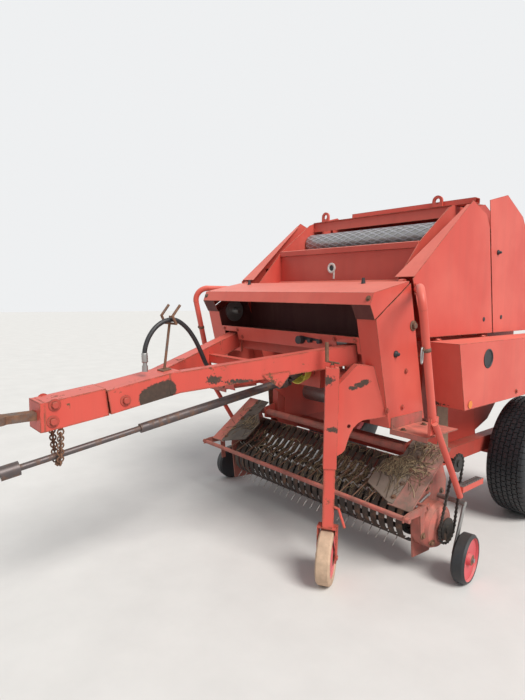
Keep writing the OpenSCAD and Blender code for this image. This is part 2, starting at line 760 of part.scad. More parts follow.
// Hydraulic hose from the tie, over the holder: the points it passes, along the machine and up
hose_r = 12;
hose_x = 28;
hose_way = [[-561, 1150], [-608, 1149], [-664, 1114], [-716, 1099], [-764, 1126], [-800, 1180],
  [-832, 1244], [-874, 1318], [-926, 1380], [-986, 1417.5], [-1046, 1416], [-1102, 1386], [-1144, 1334],
  [-1166, 1272], [-1166, 1210]];
hose_end = hose_way[len(hose_way) - 1];
hose_steps = 4;
hose_sides = 10;
// Point of a smooth curve through four neighbours, at k from the second to the third
function hose_blend(a, b, c, d, k) = ((2 * b) + (c - a) * k + (2 * a - 5 * b + 4 * c - d) * k * k
  + (3 * b - a - 3 * c + d) * k * k * k) / 2;
hose_n = len(hose_way);
hose_line = concat([for (i = [0:hose_n - 2]) for (k = [0:hose_steps - 1])
  hose_blend(hose_way[max(i - 1, 0)], hose_way[i], hose_way[i + 1], hose_way[min(i + 2, hose_n - 1)],
    k / hose_steps)], [hose_way[hose_n - 1]]);
function hose_turn(i) = let (v = hose_line[min(i + 1, len(hose_line) - 1)] - hose_line[max(i - 1, 0)]) v / norm(v);
module hydraulic_hose() {
  m = len(hose_line);
  n = hose_sides;
  color(dark) polyhedron(
    points = [for (i = [0:m - 1]) for (j = [0:n - 1]) let (t = hose_turn(i), a = 360 * j / n)
      [hose_x + hose_r * cos(a), hose_line[i][0] - hose_r * sin(a) * t[1],
        hose_line[i][1] + hose_r * sin(a) * t[0]]],
    faces = concat([[for (j = [n - 1:-1:0]) j]], [[for (j = [0:n - 1]) (m - 1) * n + j]],
      [for (i = [0:m - 2]) for (j = [0:n - 1])
        [i * n + j, i * n + (j + 1) % n, (i + 1) * n + (j + 1) % n, (i + 1) * n + j]]));
}
// Coupler at the hose's end
module hose_coupler() {
  color(steel) translate([hose_x, hose_end[0], hose_end[1] - 46]) {
    cylinder(r = 15, h = 30);
    translate([0, 0, 5]) cylinder(r = 11, h = 40.5);
  }
}

// Lower side box, hinged along its top
side_box_rear = 1640;
side_front = [[200, side_box_top], [295, side_box_low]];
// Round port in the outer sheet
port_place = [542, 1208];
port_r = 50;
module side_box() {
  color(red) {
    difference() {
      plate_x(side_box_x - cover_t, cover_t, [side_front[0], side_front[1],
        [side_box_rear, side_box_low], [side_box_rear, side_box_top]]);
      rod_x(side_box_x - cover_t - 1, side_box_x + 1, port_place[0], port_place[1], port_r);
    }
    // Cup behind the round port, and the reflector at the corner
    translate([side_box_x - 34, port_place[0], port_place[1]]) rotate([0, 90, 0]) difference() {
      cylinder(r = port_r + 3, h = 34 - cover_t);
      translate([0, 0, 3]) cylinder(r = port_r, h = 34);
    }
    rod_x(side_box_x - 1, side_box_x + 5, 349, 961, 22);
    translate([side_hinge_x + 14, side_front[0][0], side_box_top - cover_t])
      cube([side_box_x - side_hinge_x - 14, side_box_rear - side_front[0][0], cover_t]);
    // Hinge eyes
    for (y = side_eye_ys) difference() {
      union() {
        translate([side_hinge_x, y - side_eye_w / 2, side_box_top]) rotate([-90, 0, 0])
          cylinder(r = 9, h = side_eye_w);
        translate([side_hinge_x, y - side_eye_w / 2, side_box_top - cover_t]) cube([20, side_eye_w, 6]);
      }
      translate([side_hinge_x, y - side_eye_w, side_box_top]) rotate([-90, 0, 0])
        cylinder(r = 5 + pin_gap, h = 2 * side_eye_w);
    }
    // Front and rear faces
    plate_x(cover_x + 10, side_box_x - cover_x - 10, [side_front[0], side_front[1],
      side_front[1] + [cover_t, 0], side_front[0] + [cover_t, 0]]);
    translate([cover_x + 10, side_box_rear - cover_t, side_box_low])
      cube([side_box_x - cover_x - 10, cover_t, side_box_top - side_box_low]);
    // Turned lower edge
    translate([side_box_x - 30, side_front[1][0], side_box_low])
      cube([30, side_box_rear - side_front[1][0], cover_t]);
  }
}
module side_box_left() { side_box(); }
module side_box_right() { mirror([1, 0, 0]) side_box(); }

// Tailgate
tail_skin = [[1136, 2200], [1391, 2090], [1590, 1880], [1725, 1590], [1725, 1180], [1590, 860],
  [1370, 660], [1180, 600]];
module tailgate() {
  color(red) {
    both_sides() {
      plate_x(tail_hw - tail_wall_t, tail_wall_t, concat([[split_y(2160), 2160]], tail_skin,
        [[split_y(640), 640]]));
      // Hinge lugs
      difference() {
        plate_x(chamber_hw + 20, 14, [[hinge_y - 30, 2105], [hinge_y - 30, 2135],
          [hinge_y, 2155], [1010, 2140], [1010, 2060], [hinge_y, 2085]]);
        rod_x(chamber_hw, chamber_hw + 60, hinge_y, hinge_z, hinge_r + 0.05);
      }
      translate([tail_hw - 1, 930, 2070]) cube([chamber_hw + 34 - tail_hw + 1, 80, 60]);
      rod_x(tail_hw, cyl_x - 24, cyl_eye[0], cyl_eye[1], hinge_r);
    }
    // Rear skin between the side walls
    outer = concat([[950, 2185]], tail_skin, [[1150, 612]]);
    inner = [for (p = outer) p + 4 * ([chamber_y, chamber_z] - p) / norm([chamber_y, chamber_z] - p)];
    n = len(outer);
    plate_x(-tail_hw + tail_wall_t, 2 * (tail_hw - tail_wall_t), concat(outer,
      [for (i = [n - 1:-1:0]) inner[i]]));
  }
}
module tailgate_rollers() {
  color(steel) rollers(tail_roller_as, tail_hw - tail_wall_t);
}
tail_outline = [[split_y(2180), 2180], [1136, 2244], [1391, 2129], [1600, 1890], [1735, 1590],
  [1735, cover_low], [split_y(cover_low), cover_low]];
module tail_covers() {
  color(red) both_sides() {
    plate_x(cover_x - cover_t, cover_t, tail_outline);
    // Rear edge turned in to the tailgate
    plate_x(tail_hw, cover_x - tail_hw - cover_t, [[1391, 2129], [1600, 1890], [1735, 1590],
      [1735, cover_low], [1732, cover_low], [1732, 1589], [1597, 1888], [1389, 2126]]);
    // Flange on the tailgate's wall
    plate_x(tail_hw, cover_t, [[1391, 2129], [1600, 1890], [1735, 1590], [1735, cover_low],
      [1690, cover_low], [1690, 1585], [1562, 1862], [1365, 2072]]);
  }
}
module tail_lamps() {
  color([0.6, 0.05, 0.05]) both_sides()
    translate([520, 1725, 1250]) rotate([-90, 0, 0]) cylinder(r = 55, h = 40);
}

// Tailgate cylinders, between the wall and the cover
cyl_x = chamber_hw + 90;
cyl_foot = [990, 1150];
cyl_eye = [1095, 2014];
module cyl_axes() {
  v = cyl_eye - cyl_foot;
  translate([cyl_x, cyl_foot[0], cyl_foot[1]]) rotate([-atan2(v[0], v[1]), 0, 0]) children();
}
cyl_l = norm(cyl_eye - cyl_foot);
cyl_barrel = cyl_l - 130;
module cylinder_barrel() {
  color(red) cyl_axes() difference() {
    union() {
      translate([-16, 0, 0]) rotate([0, 90, 0]) cylinder(r = 30, h = 32);
      translate([0, 0, 20]) cylinder(r = 32, h = cyl_barrel - 20);
    }
    translate([-30, 0, 0]) rotate([0, 90, 0]) cylinder(r = hinge_r + 0.05, h = 60);
    translate([0, 0, 60]) cylinder(r = 18.05, h = cyl_l);
  }
}
module cylinder_rod() {
  color(steel) cyl_axes() {
    translate([0, 0, cyl_barrel - 550]) cylinder(r = 18, h = cyl_l - cyl_barrel + 540);
    translate([-14, 0, cyl_l]) rotate([0, 90, 0]) cylinder(r = 28, h = 28);
  }
}
module cylinder_barrel_left() { cylinder_barrel(); }
module cylinder_barrel_right() { mirror([1, 0, 0]) cylinder_barrel(); }
module cylinder_rod_left() { cylinder_rod(); }
module cylinder_rod_right() { mirror([1, 0, 0]) cylinder_rod(); }

// Pickup
reel_y = 170;
reel_z = 285;
lift_y = 255;
lift_z = 640;
reel_hw = chamber_hw + reel_over;
side_x = reel_hw + 37;
side_t = 8;
// Underside of the deflector sheets: height at a place along the machine
deflect_slope = 0.72;
function deflect_z(y) = 428 + deflect_slope * (y + 97);
side_plate = [[69, 95], [33, 383], [48, deflect_z(48)], [238, deflect_z(238)], [262, 680], [300, 676],
  [394, 479], [392, 363], [340, 230], [238, 83]];
// Cam housing beside the reel, on the drive's side
cam_r = 130;
cam_w = 112;
module pickup_frame() {
  color(red) {
    both_sides() difference() {
      plate_x(side_x, side_t, side_plate);
      rod_x(side_x - 1, side_x + side_t + 1, reel_y, reel_z, 20.05);
    }
    translate([side_x + side_t - 1, reel_y, reel_z]) rotate([0, 90, 0]) rotate_extrude()
      polygon([[20.05, 0], [cam_r, 0], [cam_r, cam_w - 40], [cam_r - 14, cam_w - 14],
        [cam_r - 44, cam_w], [20.05, cam_w]]);
    rod_x(-side_x, side_x, lift_y, lift_z, lift_r);
    translate([-side_x, band_rear_y + 10, 435]) cube([2 * side_x, 28, 35]);
    // Plate behind the bands
    translate([-side_x, band_rear_y, 450]) cube([2 * side_x, 10, band_top - 450]);
    // Rod beside the left plate
    bar([side_x + 14, 57, 393], [side_x + 14, 203, 440], 8);
    rod_x(side_x + 4, side_x + 20, 190, 436, 9);
    rod_x(side_x + 4, side_x + 20, 72, 398, 9);
  }
}
band_pitch = 2 * reel_hw / bands;
band_rear_y = 310;
band_rise = 135;
band_back = band_rear_y - reel_y;
band_top = reel_z + band_r + band_rise;
module pickup_bands() {
  color(dark) for (i = [0:bands - 1])
    translate([-reel_hw + (i + 0.5) * band_pitch - band_w / 2, reel_y, reel_z]) rotate([90, 0, 90])
      linear_extrude(band_w) difference() {
        union() {
          circle(band_r);
          polygon([[0, band_r], [band_back, band_r + band_rise], [band_back, band_r + band_rise - 45],
            [0, -band_r]]);
        }
        circle(band_r - 3);
        polygon([[0, band_r - 3], [band_back - 3, band_r + band_rise - 6],
          [band_back - 3, band_r + band_rise - 60], [band_back + 30, band_r + band_rise - 60],
          [band_back + 30, -200], [0, -band_r - 3]]);
      }
}
module pickup_reel() {
  color(steel) {
    rod_x(-side_x - 30, chain_x + chain_w + 3, reel_y, reel_z, 20);
    // Sprocket
    rod_x(chain_x + 3, chain_x + chain_w - 3, reel_y, reel_z, reel_sprocket_r);
    for (k = [0:tine_bars - 1]) {
      a = 45 + k * 360 / tine_bars;
      rod_x(-reel_hw + 5, reel_hw - 5, reel_y + 88 * cos(a), reel_z + 88 * sin(a), 14);
      for (i = [1:bands - 1])
        bar([-reel_hw + i * band_pitch, reel_y + 84 * cos(a), reel_z + 84 * sin(a)],
          [-reel_hw + i * band_pitch, reel_y + tine_reach * cos(a), reel_z + tine_reach * sin(a)], 3);
    }
    for (x = [-reel_hw + 20, -10, reel_hw - 40]) rod_x(x, x + 20, reel_y, reel_z, 105);
  }
}
guard_y = -152;
guard_z = 410;
guard_arm_x = side_x + 86;
guard_hw = guard_arm_x + 32;
module windguard() {
  color(red) {
    rod_x(-guard_hw, guard_hw, guard_y, guard_z, 14);
    both_sides() {
      plate_x(guard_arm_x, 8, [[-175, 396], [-168, 428], [-120, 436], [70, 440], [76, 406], [28, 398],
        [36, 250], [4, 246], [-14, 392]]);
      rod_x(side_x + side_t, guard_arm_x + 16, 54, 422, 10);
    }
  }
  color(steel) for (i = [0:14]) {
    x = -630 + i * 90;
    bar([x, guard_y, guard_z], [x, 120, 520], 3.5);
  }
}
// Deflector beside the reel: sheet, and a rubber flap along its inner edge
deflect_fold_x = 750;
deflect_out_x = 895;
deflect_in_x = 565;
deflect_t = 4;
deflect_y = [-97, 285];
module deflectors() {
  both_sides() {
    color(red) {
      plate_x(deflect_fold_x, deflect_out_x - deflect_fold_x, [[deflect_y[0], deflect_z(deflect_y[0])],
        [deflect_y[1], deflect_z(deflect_y[1])], [deflect_y[1], deflect_z(deflect_y[1]) + deflect_t],
        [deflect_y[0], deflect_z(deflect_y[0]) + deflect_t]]);
      // Turned outer edge
      plate_x(deflect_out_x - 3, 3, [[deflect_y[0], deflect_z(deflect_y[0]) - 12],
        [deflect_y[1], deflect_z(deflect_y[1]) - 12], [deflect_y[1], deflect_z(deflect_y[1]) + 1],
        [deflect_y[0], deflect_z(deflect_y[0]) + 1]]);
    }
    color(dark) difference() {
      plate_x(deflect_in_x, deflect_fold_x + 30 - deflect_in_x,
        [[deflect_y[0] + 6, deflect_z(deflect_y[0] + 6) + deflect_t],
        [deflect_y[1] - 4, deflect_z(deflect_y[1] - 4) + deflect_t],
        [deflect_y[1] - 4, deflect_z(deflect_y[1] - 4) + deflect_t + 6],
        [deflect_y[0] + 6, deflect_z(deflect_y[0] + 6) + deflect_t + 6]]);
      // Slanted front edge, and the inner edge set back beside the lift's bearing
      translate([0, 0, 300]) linear_extrude(600)
        polygon([[deflect_in_x - 1, -120], [deflect_in_x - 1, -28], [deflect_fold_x + 1, -90.5],
          [deflect_fold_x + 1, -120]]);
      translate([0, 0, 300]) linear_extrude(600)
        polygon([[deflect_in_x - 1, 110], [deflect_in_x - 1, 400], [660, 400], [660, 175]]);
    }
  }
}
// Chain from the shaft in the lift's tube down to the reel, round two sprockets
chain_x = side_x + 143;
chain_w = 14;
chain_high_r = 46;
chain_low_r = 74;
reel_sprocket_r = 63;
chain_pitch = 24;
chain_d = norm([reel_y - lift_y, reel_z - lift_z]);
chain_turn = atan2(reel_z - lift_z, reel_y - lift_y);
chain_wrap = 90 + asin((chain_low_r - chain_high_r) / chain_d);
// Points round a sprocket, and the whole loop at a distance out from the chain's inner face
function chain_arc(c, r, a0, a1, n) =
  [for (i = [0:n]) let (a = a0 + (a1 - a0) * i / n) c + r * [cos(a), sin(a)]];
function chain_loop(out) = concat(
  chain_arc([reel_y, reel_z], chain_low_r + out, chain_turn - chain_wrap, chain_turn + chain_wrap, 12),
  chain_arc([lift_y, lift_z], chain_high_r + out, chain_turn + chain_wrap, chain_turn + 360 - chain_wrap, 8));
module chain_rollers(q, p) {
  n = round(norm(q - p) / chain_pitch);
  for (i = [0:n - 1]) let (c = p + (q - p) * (i + 0.5) / n)
    rod_x(chain_x, chain_x + chain_w, c[0], c[1], 7.5, $fn = 6);
}
module pickup_drive() {
  color(dark) {
    // Shaft and upper sprocket
    rod_x(side_x + side_t, chain_x + chain_w + 3, lift_y, lift_z, 20);
    rod_x(chain_x + 3, chain_x + chain_w - 3, lift_y, lift_z, chain_high_r + 3);
    // Chain: the band of its plates, with rollers standing out of it
    translate([chain_x + 2, 0, 0]) rotate([90, 0, 90]) linear_extrude(chain_w - 4) difference() {
      polygon(chain_loop(9));
      polygon(chain_loop(0));
    }
    loop = chain_loop(4.5);
    chain_rollers(loop[12], loop[13]);
    chain_rollers(loop[21], loop[0]);
    for (a = [chain_turn - chain_wrap + 9 : 18 : chain_turn + chain_wrap]) let (r = chain_low_r + 4.5)
      rod_x(chain_x, chain_x + chain_w, reel_y + r * cos(a), reel_z + r * sin(a), 7.5, $fn = 6);
    for (a = [chain_turn + chain_wrap + 12 : 26 : chain_turn + 360 - chain_wrap]) let (r = chain_high_r + 4.5)
      rod_x(chain_x, chain_x + chain_w, lift_y + r * cos(a), lift_z + r * sin(a), 7.5, $fn = 6);
  }
}
// Gauge wheels on bent arms, their axles turned a little in plan
gauge_x = side_x + 237;
gauge_y = 223;
gauge_turn = 9;
gauge_arm_x = side_x + 172;
gauge_arm_top = [310, 400];
module gauge_place() {
  translate([gauge_x, gauge_y, gauge_r]) rotate([0, 0, gauge_turn]) children();
}
module gauge_arms() {
  color(steel) both_sides() {
    rod_x(side_x + side_t, gauge_arm_x + 6, gauge_arm_top[0], gauge_arm_top[1], 15);
    bar([gauge_arm_x, gauge_arm_top[0], gauge_arm_top[1]], [gauge_arm_x, gauge_y - 8, gauge_r], 10);
    gauge_place() rod_x(-gauge_w / 2 - 28, gauge_w / 2 + 12, 0, 0, 12);
  }
}
module gauge_wheel() {
  w = gauge_w / 2;
  color(dark) gauge_place() rotate([0, 90, 0]) rotate_extrude() polygon([[12.05, -w], [gauge_r - 14, -w],
    [gauge_r, -w + 12], [gauge_r, w - 12], [gauge_r - 12, w], [gauge_r - 18, w - 2], [gauge_r - 24, w - 15],
    [34, w - 22], [28, w + 2], [12.05, w + 2]]);
}
module gauge_wheel_left() { gauge_wheel(); }
module gauge_wheel_right() { mirror([1, 0, 0]) gauge_wheel(); }

module chain_cover() {
  color([0.42, 0.25, 0.15]) both_sides() {
    plate_x(cover_x + 14, 3, [[380, 640], [350, 925], [470, 925], [500, 640]]);
    translate([wall_x + 60, 352, 800]) cube([cover_x + 15 - wall_x - 60, 26, 8]);
  }
}

drawbar();
drawbar_head();
tow_eye();
net_box();
control_panel();
net_brake();
chamber_walls();
chamber_front();
top_beam();
front_rollers();
top_roller();
upper_cover_left();
upper_cover_right();
guard_bow_left();
guard_bow_right();
steps();
chassis();
axle();
jack_mount();
gearbox();
input_guard();
pto_outer();
pto_inner();
pto_chain();
hose_rest();
hydraulic_hose();
hose_coupler();
net_lid();
side_box_left();
side_box_right();
tailgate();
tailgate_rollers();
tail_covers();
tail_lamps();
cylinder_barrel_left();
cylinder_barrel_right();
cylinder_rod_left();
cylinder_rod_right();
tyre_left();
rim_left();
tyre_right();
rim_right();
pickup_frame();
pickup_bands();
windguard();
deflectors();
pickup_reel();
pickup_drive();
gauge_arms();
gauge_wheel_left();
gauge_wheel_right();
jack_leg();
jack_wheel();
chain_cover();
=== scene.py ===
"""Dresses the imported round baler: paint, rust and rubber, small fittings, hose, straw and the stage."""

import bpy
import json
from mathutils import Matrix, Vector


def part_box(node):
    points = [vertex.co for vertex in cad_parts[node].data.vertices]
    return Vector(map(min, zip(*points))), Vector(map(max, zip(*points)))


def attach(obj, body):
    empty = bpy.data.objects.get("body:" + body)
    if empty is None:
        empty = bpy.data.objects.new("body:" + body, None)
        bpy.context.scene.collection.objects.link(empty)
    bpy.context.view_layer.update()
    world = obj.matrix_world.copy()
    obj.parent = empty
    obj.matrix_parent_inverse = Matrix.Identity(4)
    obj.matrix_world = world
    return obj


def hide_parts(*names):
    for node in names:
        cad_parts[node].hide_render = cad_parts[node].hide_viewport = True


bl_info = {
    "name": "Round Baler",
    "version": (1, 0, 0),
    "blender": (4, 5, 0),
    "location": "View3D > Sidebar > Baler",
    "description": "Finishes, small fittings and stage for a towed round baler",
    "category": "Object",
}

import json
import math
import random

import bmesh
import bpy
from mathutils import Vector
from mathutils.bvhtree import BVHTree

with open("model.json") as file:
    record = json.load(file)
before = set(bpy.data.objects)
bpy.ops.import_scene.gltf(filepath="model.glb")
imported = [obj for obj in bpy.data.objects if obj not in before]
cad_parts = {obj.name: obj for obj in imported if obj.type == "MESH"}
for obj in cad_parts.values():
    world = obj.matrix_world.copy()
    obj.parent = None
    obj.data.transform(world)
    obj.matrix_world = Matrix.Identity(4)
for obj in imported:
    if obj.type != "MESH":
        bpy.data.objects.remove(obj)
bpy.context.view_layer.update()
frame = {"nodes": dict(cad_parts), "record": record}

# The machine's two sides: sign of X, name
SIDES = ((1, "left"), (-1, "right"))


# Settings


def colour(name, description, value):
    """A colour property."""
    return bpy.props.FloatVectorProperty(
        name=name, description=description, default=value, size=3, subtype="COLOR", min=0, max=1
    )


def share(name, description, value):
    """A property from 0 to 1."""
    return bpy.props.FloatProperty(
        name=name, description=description, default=value, min=0, max=1, subtype="FACTOR"
    )


class BalerPaint(bpy.types.PropertyGroup):
    """Colours of the baler's finishes, and how worn they are."""

    paint: colour("Paint", "Red paint out of the sun", (0.56, 0.075, 0.055))
    faded: colour("Faded paint", "Red paint bleached by the sun", (0.78, 0.20, 0.15))
    worn: colour("Worn paint", "Pinkish paint polished by the crop", (0.42, 0.105, 0.09))
    rust: colour("Rust", "Rust where the paint is gone", (0.115, 0.055, 0.035))
    dust: colour("Dust", "Dry dust and chaff", (0.36, 0.30, 0.22))
    steel: colour("Steel", "Bare worked steel", (0.42, 0.41, 0.40))
    dark_steel: colour("Dark steel", "Oily steel bands and sprockets", (0.035, 0.032, 0.032))
    rubber: colour("Rubber", "Tyre rubber", (0.012, 0.0135, 0.017))
    tan_rubber: colour("Tan rubber", "The jack wheel's dusty rubber", (0.42, 0.29, 0.20))
    yellow: colour("Guard plastic", "The drive shaft guard's plastic", (0.48, 0.42, 0.06))
    lamp: colour("Lamp", "The rear lamps' glass", (0.45, 0.01, 0.01))
    wear: share("Wear", "How far the paint is worn off the edges", 0.55)


class BalerStage(bpy.types.PropertyGroup):
    """Camera, floor and light."""

    eye: bpy.props.FloatVectorProperty(
        name="Eye", description="Where the camera stands", size=3, subtype="TRANSLATION",
        default=(2.3202, -2.375, 1.55),
    )
    turn: bpy.props.FloatVectorProperty(
        name="Turn", description="How the camera is turned", size=3, subtype="EULER", unit="ROTATION",
        default=(math.radians(83.926), math.radians(-0.8815), math.radians(49.189)),
    )
    lens: bpy.props.FloatProperty(
        name="Lens", description="Focal length in millimetres", default=26.17, min=1, unit="CAMERA"
    )
    floor: colour("Floor", "The floor's colour", (0.72, 0.71, 0.69))
    backdrop: colour("Backdrop", "What stands behind the baler", (0.86, 0.87, 0.88))
    sun: bpy.props.FloatProperty(
        name="Main light", description="Strength of the main light", default=3.2, min=0
    )
    fill: bpy.props.FloatProperty(
        name="Fill light", description="Strength of the light all round", default=0.50, min=0
    )


# Node tools

# How fine the ragged edge of a worn patch is
SPOT_SCALE = 80.0
# The Mix node's colour sockets, which share their names with others: A, B and the result
MIX_A, MIX_B, MIX_RESULT = 6, 7, 2


class Nodes:
    """Adds and links nodes in one tree."""

    def __init__(self, tree):
        self.tree = tree

    def add(self, kind, _values=None, **options):
        """A new node: what its inputs get, and its own options."""
        node = self.tree.nodes.new("ShaderNode" + kind)
        for name, value in options.items():
            setattr(node, name, value)
        for name, value in (_values or {}).items():
            self.feed(node.inputs[name], value)
        return node

    def feed(self, socket, value):
        """Links a socket to an input, or sets the input to a number or colour."""
        if isinstance(value, bpy.types.NodeSocket):
            self.tree.links.new(value, socket)
        elif hasattr(value, "__len__") and len(value) == 3 and len(socket.default_value) == 4:
            socket.default_value = (*value, 1)
        else:
            socket.default_value = value

    def math(self, operation, a, b, clamp=False):
        """One step of arithmetic."""
        node = self.add("Math", operation=operation, use_clamp=clamp)
        self.feed(node.inputs[0], a)
        self.feed(node.inputs[1], b)
        return node.outputs[0]

    def vectors(self, operation, a, b=None):
        """One step of arithmetic with vectors, as its node, because its result is a vector or a value."""
        node = self.add("VectorMath", operation=operation)
        self.feed(node.inputs[0], a)
        if b is not None:
            self.feed(node.inputs[1], b)
        return node

    def mix(self, factor, a, b):
        """Goes from colour a to colour b as the factor goes from 0 to 1."""
        node = self.add("Mix", data_type="RGBA")
        self.feed(node.inputs["Factor"], factor)
        self.feed(node.inputs[MIX_A], a)
        self.feed(node.inputs[MIX_B], b)
        return node.outputs[MIX_RESULT]

    def ramp(self, value, low, high, to_low=0.0, to_high=1.0):
        """A value that goes from one limit to the other, held at both ends."""
        node = self.add("MapRange", {"Value": value, "From Min": low, "From Max": high, "To Min": to_low,
                                     "To Max": to_high})
        return node.outputs[0]

    def noise(self, scale, detail=4.0, rough=0.6, place=None):
        """Clouds in the object's own coordinates, unless another place is given."""
        place = place or self.add("TexCoord").outputs["Object"]
        node = self.add("TexNoise", {"Vector": place, "Scale": scale, "Detail": detail, "Roughness": rough})
        return node.outputs["Fac"]

    def spot(self, centre, size, ragged=2.3):
        """A mask that is 1 in a ragged patch round a place on the object."""
        away = self.vectors("SUBTRACT", self.add("TexCoord").outputs["Object"], centre).outputs["Vector"]
        shrunk = self.vectors("DIVIDE", away, size).outputs["Vector"]
        far = self.vectors("LENGTH", shrunk).outputs["Value"]
        rough = self.math("MULTIPLY", self.math("SUBTRACT", self.noise(SPOT_SCALE, 8, 0.78), 0.5), ragged * 2)
        return self.ramp(self.math("ADD", far, rough), 1.02, 0.90)

    def group(self, name, **values):
        """The outputs of a shared effect, with this material's values."""
        node = self.add("Group")
        node.node_tree = bpy.data.node_groups[name]
        for key, value in values.items():
            self.feed(node.inputs[key], value)
        return node.outputs


def effect(name, inputs, outputs, build):
    """A shader node group: inputs and outputs are {name: "COLOR" or default number}."""
    tree = bpy.data.node_groups.new(name, "ShaderNodeTree")
    for side, sockets in (("INPUT", inputs), ("OUTPUT", outputs)):
        for label, value in sockets.items():
            kind = "NodeSocketColor" if value == "COLOR" else "NodeSocketFloat"
            socket = tree.interface.new_socket(name=label, in_out=side, socket_type=kind)
            if side == "INPUT" and value != "COLOR":
                socket.default_value = value
    entry, leave = tree.nodes.new("NodeGroupInput"), tree.nodes.new("NodeGroupOutput")
    made = build(Nodes(tree), entry.outputs)
    for label, socket in made.items():
        tree.links.new(socket, leave.inputs[label])


def build_fading(n, given):
    """Paint bleached on what faces the sky, in soft patches."""
    facing = n.add("SeparateXYZ", {"Vector": n.add("TexCoord").outputs["Normal"]}).outputs["Z"]
    up = n.ramp(facing, 0.15, 0.95)
    patches = n.ramp(n.noise(2.3, 3, 0.5), 0.35, 0.68)
    amount = n.math("MULTIPLY",
                    n.math("ADD", n.math("MULTIPLY", up, 0.75), n.math("MULTIPLY", patches, 0.35)),
                    given["Amount"], clamp=True)
    return {"Colour": n.mix(amount, given["Paint"], given["Faded"])}


def build_edge_wear(n, given):
    """Where an edge has lost its paint."""
    rounded = n.add("Bevel", {"Radius": given["Width"]}, samples=4).outputs["Normal"]
    flat = n.add("NewGeometry").outputs["Normal"]
    edge = n.ramp(n.vectors("DOT_PRODUCT", rounded, flat).outputs["Value"], 0.985, 0.86)
    breaks = n.ramp(n.noise(given["Scale"], 6, 0.7), 0.62, 0.48)
    return {"Mask": n.math("MULTIPLY", n.math("MULTIPLY", edge, breaks), given["Amount"], clamp=True)}


def build_chips(n, given):
    """Chips and scratches in the middle of a face."""
    level = n.math("SUBTRACT", 0.80, n.math("MULTIPLY", given["Amount"], 0.22))
    cloud = n.noise(given["Scale"], 8, 0.72)
    mask = n.ramp(n.math("SUBTRACT", cloud, level), -0.012, 0.02)
    deep = n.math("MAXIMUM", n.math("GREATER_THAN", cloud, level), 0.8)
    return {"Mask": n.math("MULTIPLY", mask, deep, clamp=True)}


def build_streaks(n, given):
    """Dirt that has run down, as a mask."""
    place = n.add("Mapping", {"Vector": n.add("TexCoord").outputs["Object"],
                              "Scale": (9.0, 9.0, 0.7)}).outputs[0]
    runs = n.ramp(n.noise(1.6, 5, 0.62, place), 0.46, 0.72)
    return {"Mask": n.math("MULTIPLY", runs, given["Amount"], clamp=True)}


def build_dust(n, given):
    """Dust, thicker near the ground and on what faces up."""
    place = n.add("TexCoord")
    height = n.add("SeparateXYZ", {"Vector": place.outputs["Object"]}).outputs["Z"]
    up = n.add("SeparateXYZ", {"Vector": place.outputs["Normal"]}).outputs["Z"]
    low = n.ramp(height, given["Height"], 0.0)
    on_top = n.ramp(up, 0.3, 1.0, 0.25, 1.0)
    cloud = n.ramp(n.noise(6.5, 7, 0.68), 0.30, 0.72)
    return {"Mask": n.math("MULTIPLY", n.math("MULTIPLY", n.math("MULTIPLY", low, on_top), cloud),
                           given["Amount"], clamp=True)}


def build_rust(n, given):
    """Rust in two browns."""
    pale = n.mix(0.55, given["Rust"], (0.30, 0.15, 0.08))
    return {"Colour": n.mix(n.ramp(n.noise(38, 6, 0.7), 0.35, 0.65), given["Rust"], pale)}


def build_surface(n, given):
    """Height of fine grain and of shallow dents."""
    fine = n.noise(given["Grain"], 3, 0.6)
    dents = n.noise(4.2, 2, 0.4)
    fine, dents = n.math("MULTIPLY", fine, given["Fine"]), n.math("MULTIPLY", dents, given["Dents"])
    return {"Height": n.math("ADD", fine, dents)}


def build_effects():
    """All shared effects."""
    effect("Sun Fading", {"Paint": "COLOR", "Faded": "COLOR", "Amount": 1.0}, {"Colour": "COLOR"},
           build_fading)
    effect("Edge Wear", {"Width": 0.006, "Scale": 22.0, "Amount": 1.0}, {"Mask": 0.0}, build_edge_wear)
    effect("Paint Chips", {"Scale": 9.0, "Amount": 0.5}, {"Mask": 0.0}, build_chips)
    effect("Dirt Streaks", {"Amount": 0.3}, {"Mask": 0.0}, build_streaks)
    effect("Field Dust", {"Amount": 0.5, "Height": 1.4}, {"Mask": 0.0}, build_dust)
    effect("Rust Tones", {"Rust": "COLOR"}, {"Colour": "COLOR"}, build_rust)
    effect("Surface Height", {"Grain": 240.0, "Fine": 0.2, "Dents": 1.0}, {"Height": 0.0}, build_surface)


# Materials


def new_material(name):
    """Makes a material, and gives a tool for its nodes and its Principled shader."""
    material = bpy.data.materials.new(name)
    material.use_nodes = True
    return Nodes(material.node_tree), material.node_tree.nodes["Principled BSDF"]


def bump(n, shader, height, strength, distance):
    """Feeds a height to a shader's normal."""
    node = n.add("Bump", {"Height": height, "Strength": strength, "Distance": distance})
    n.feed(shader.inputs["Normal"], node.outputs[0])


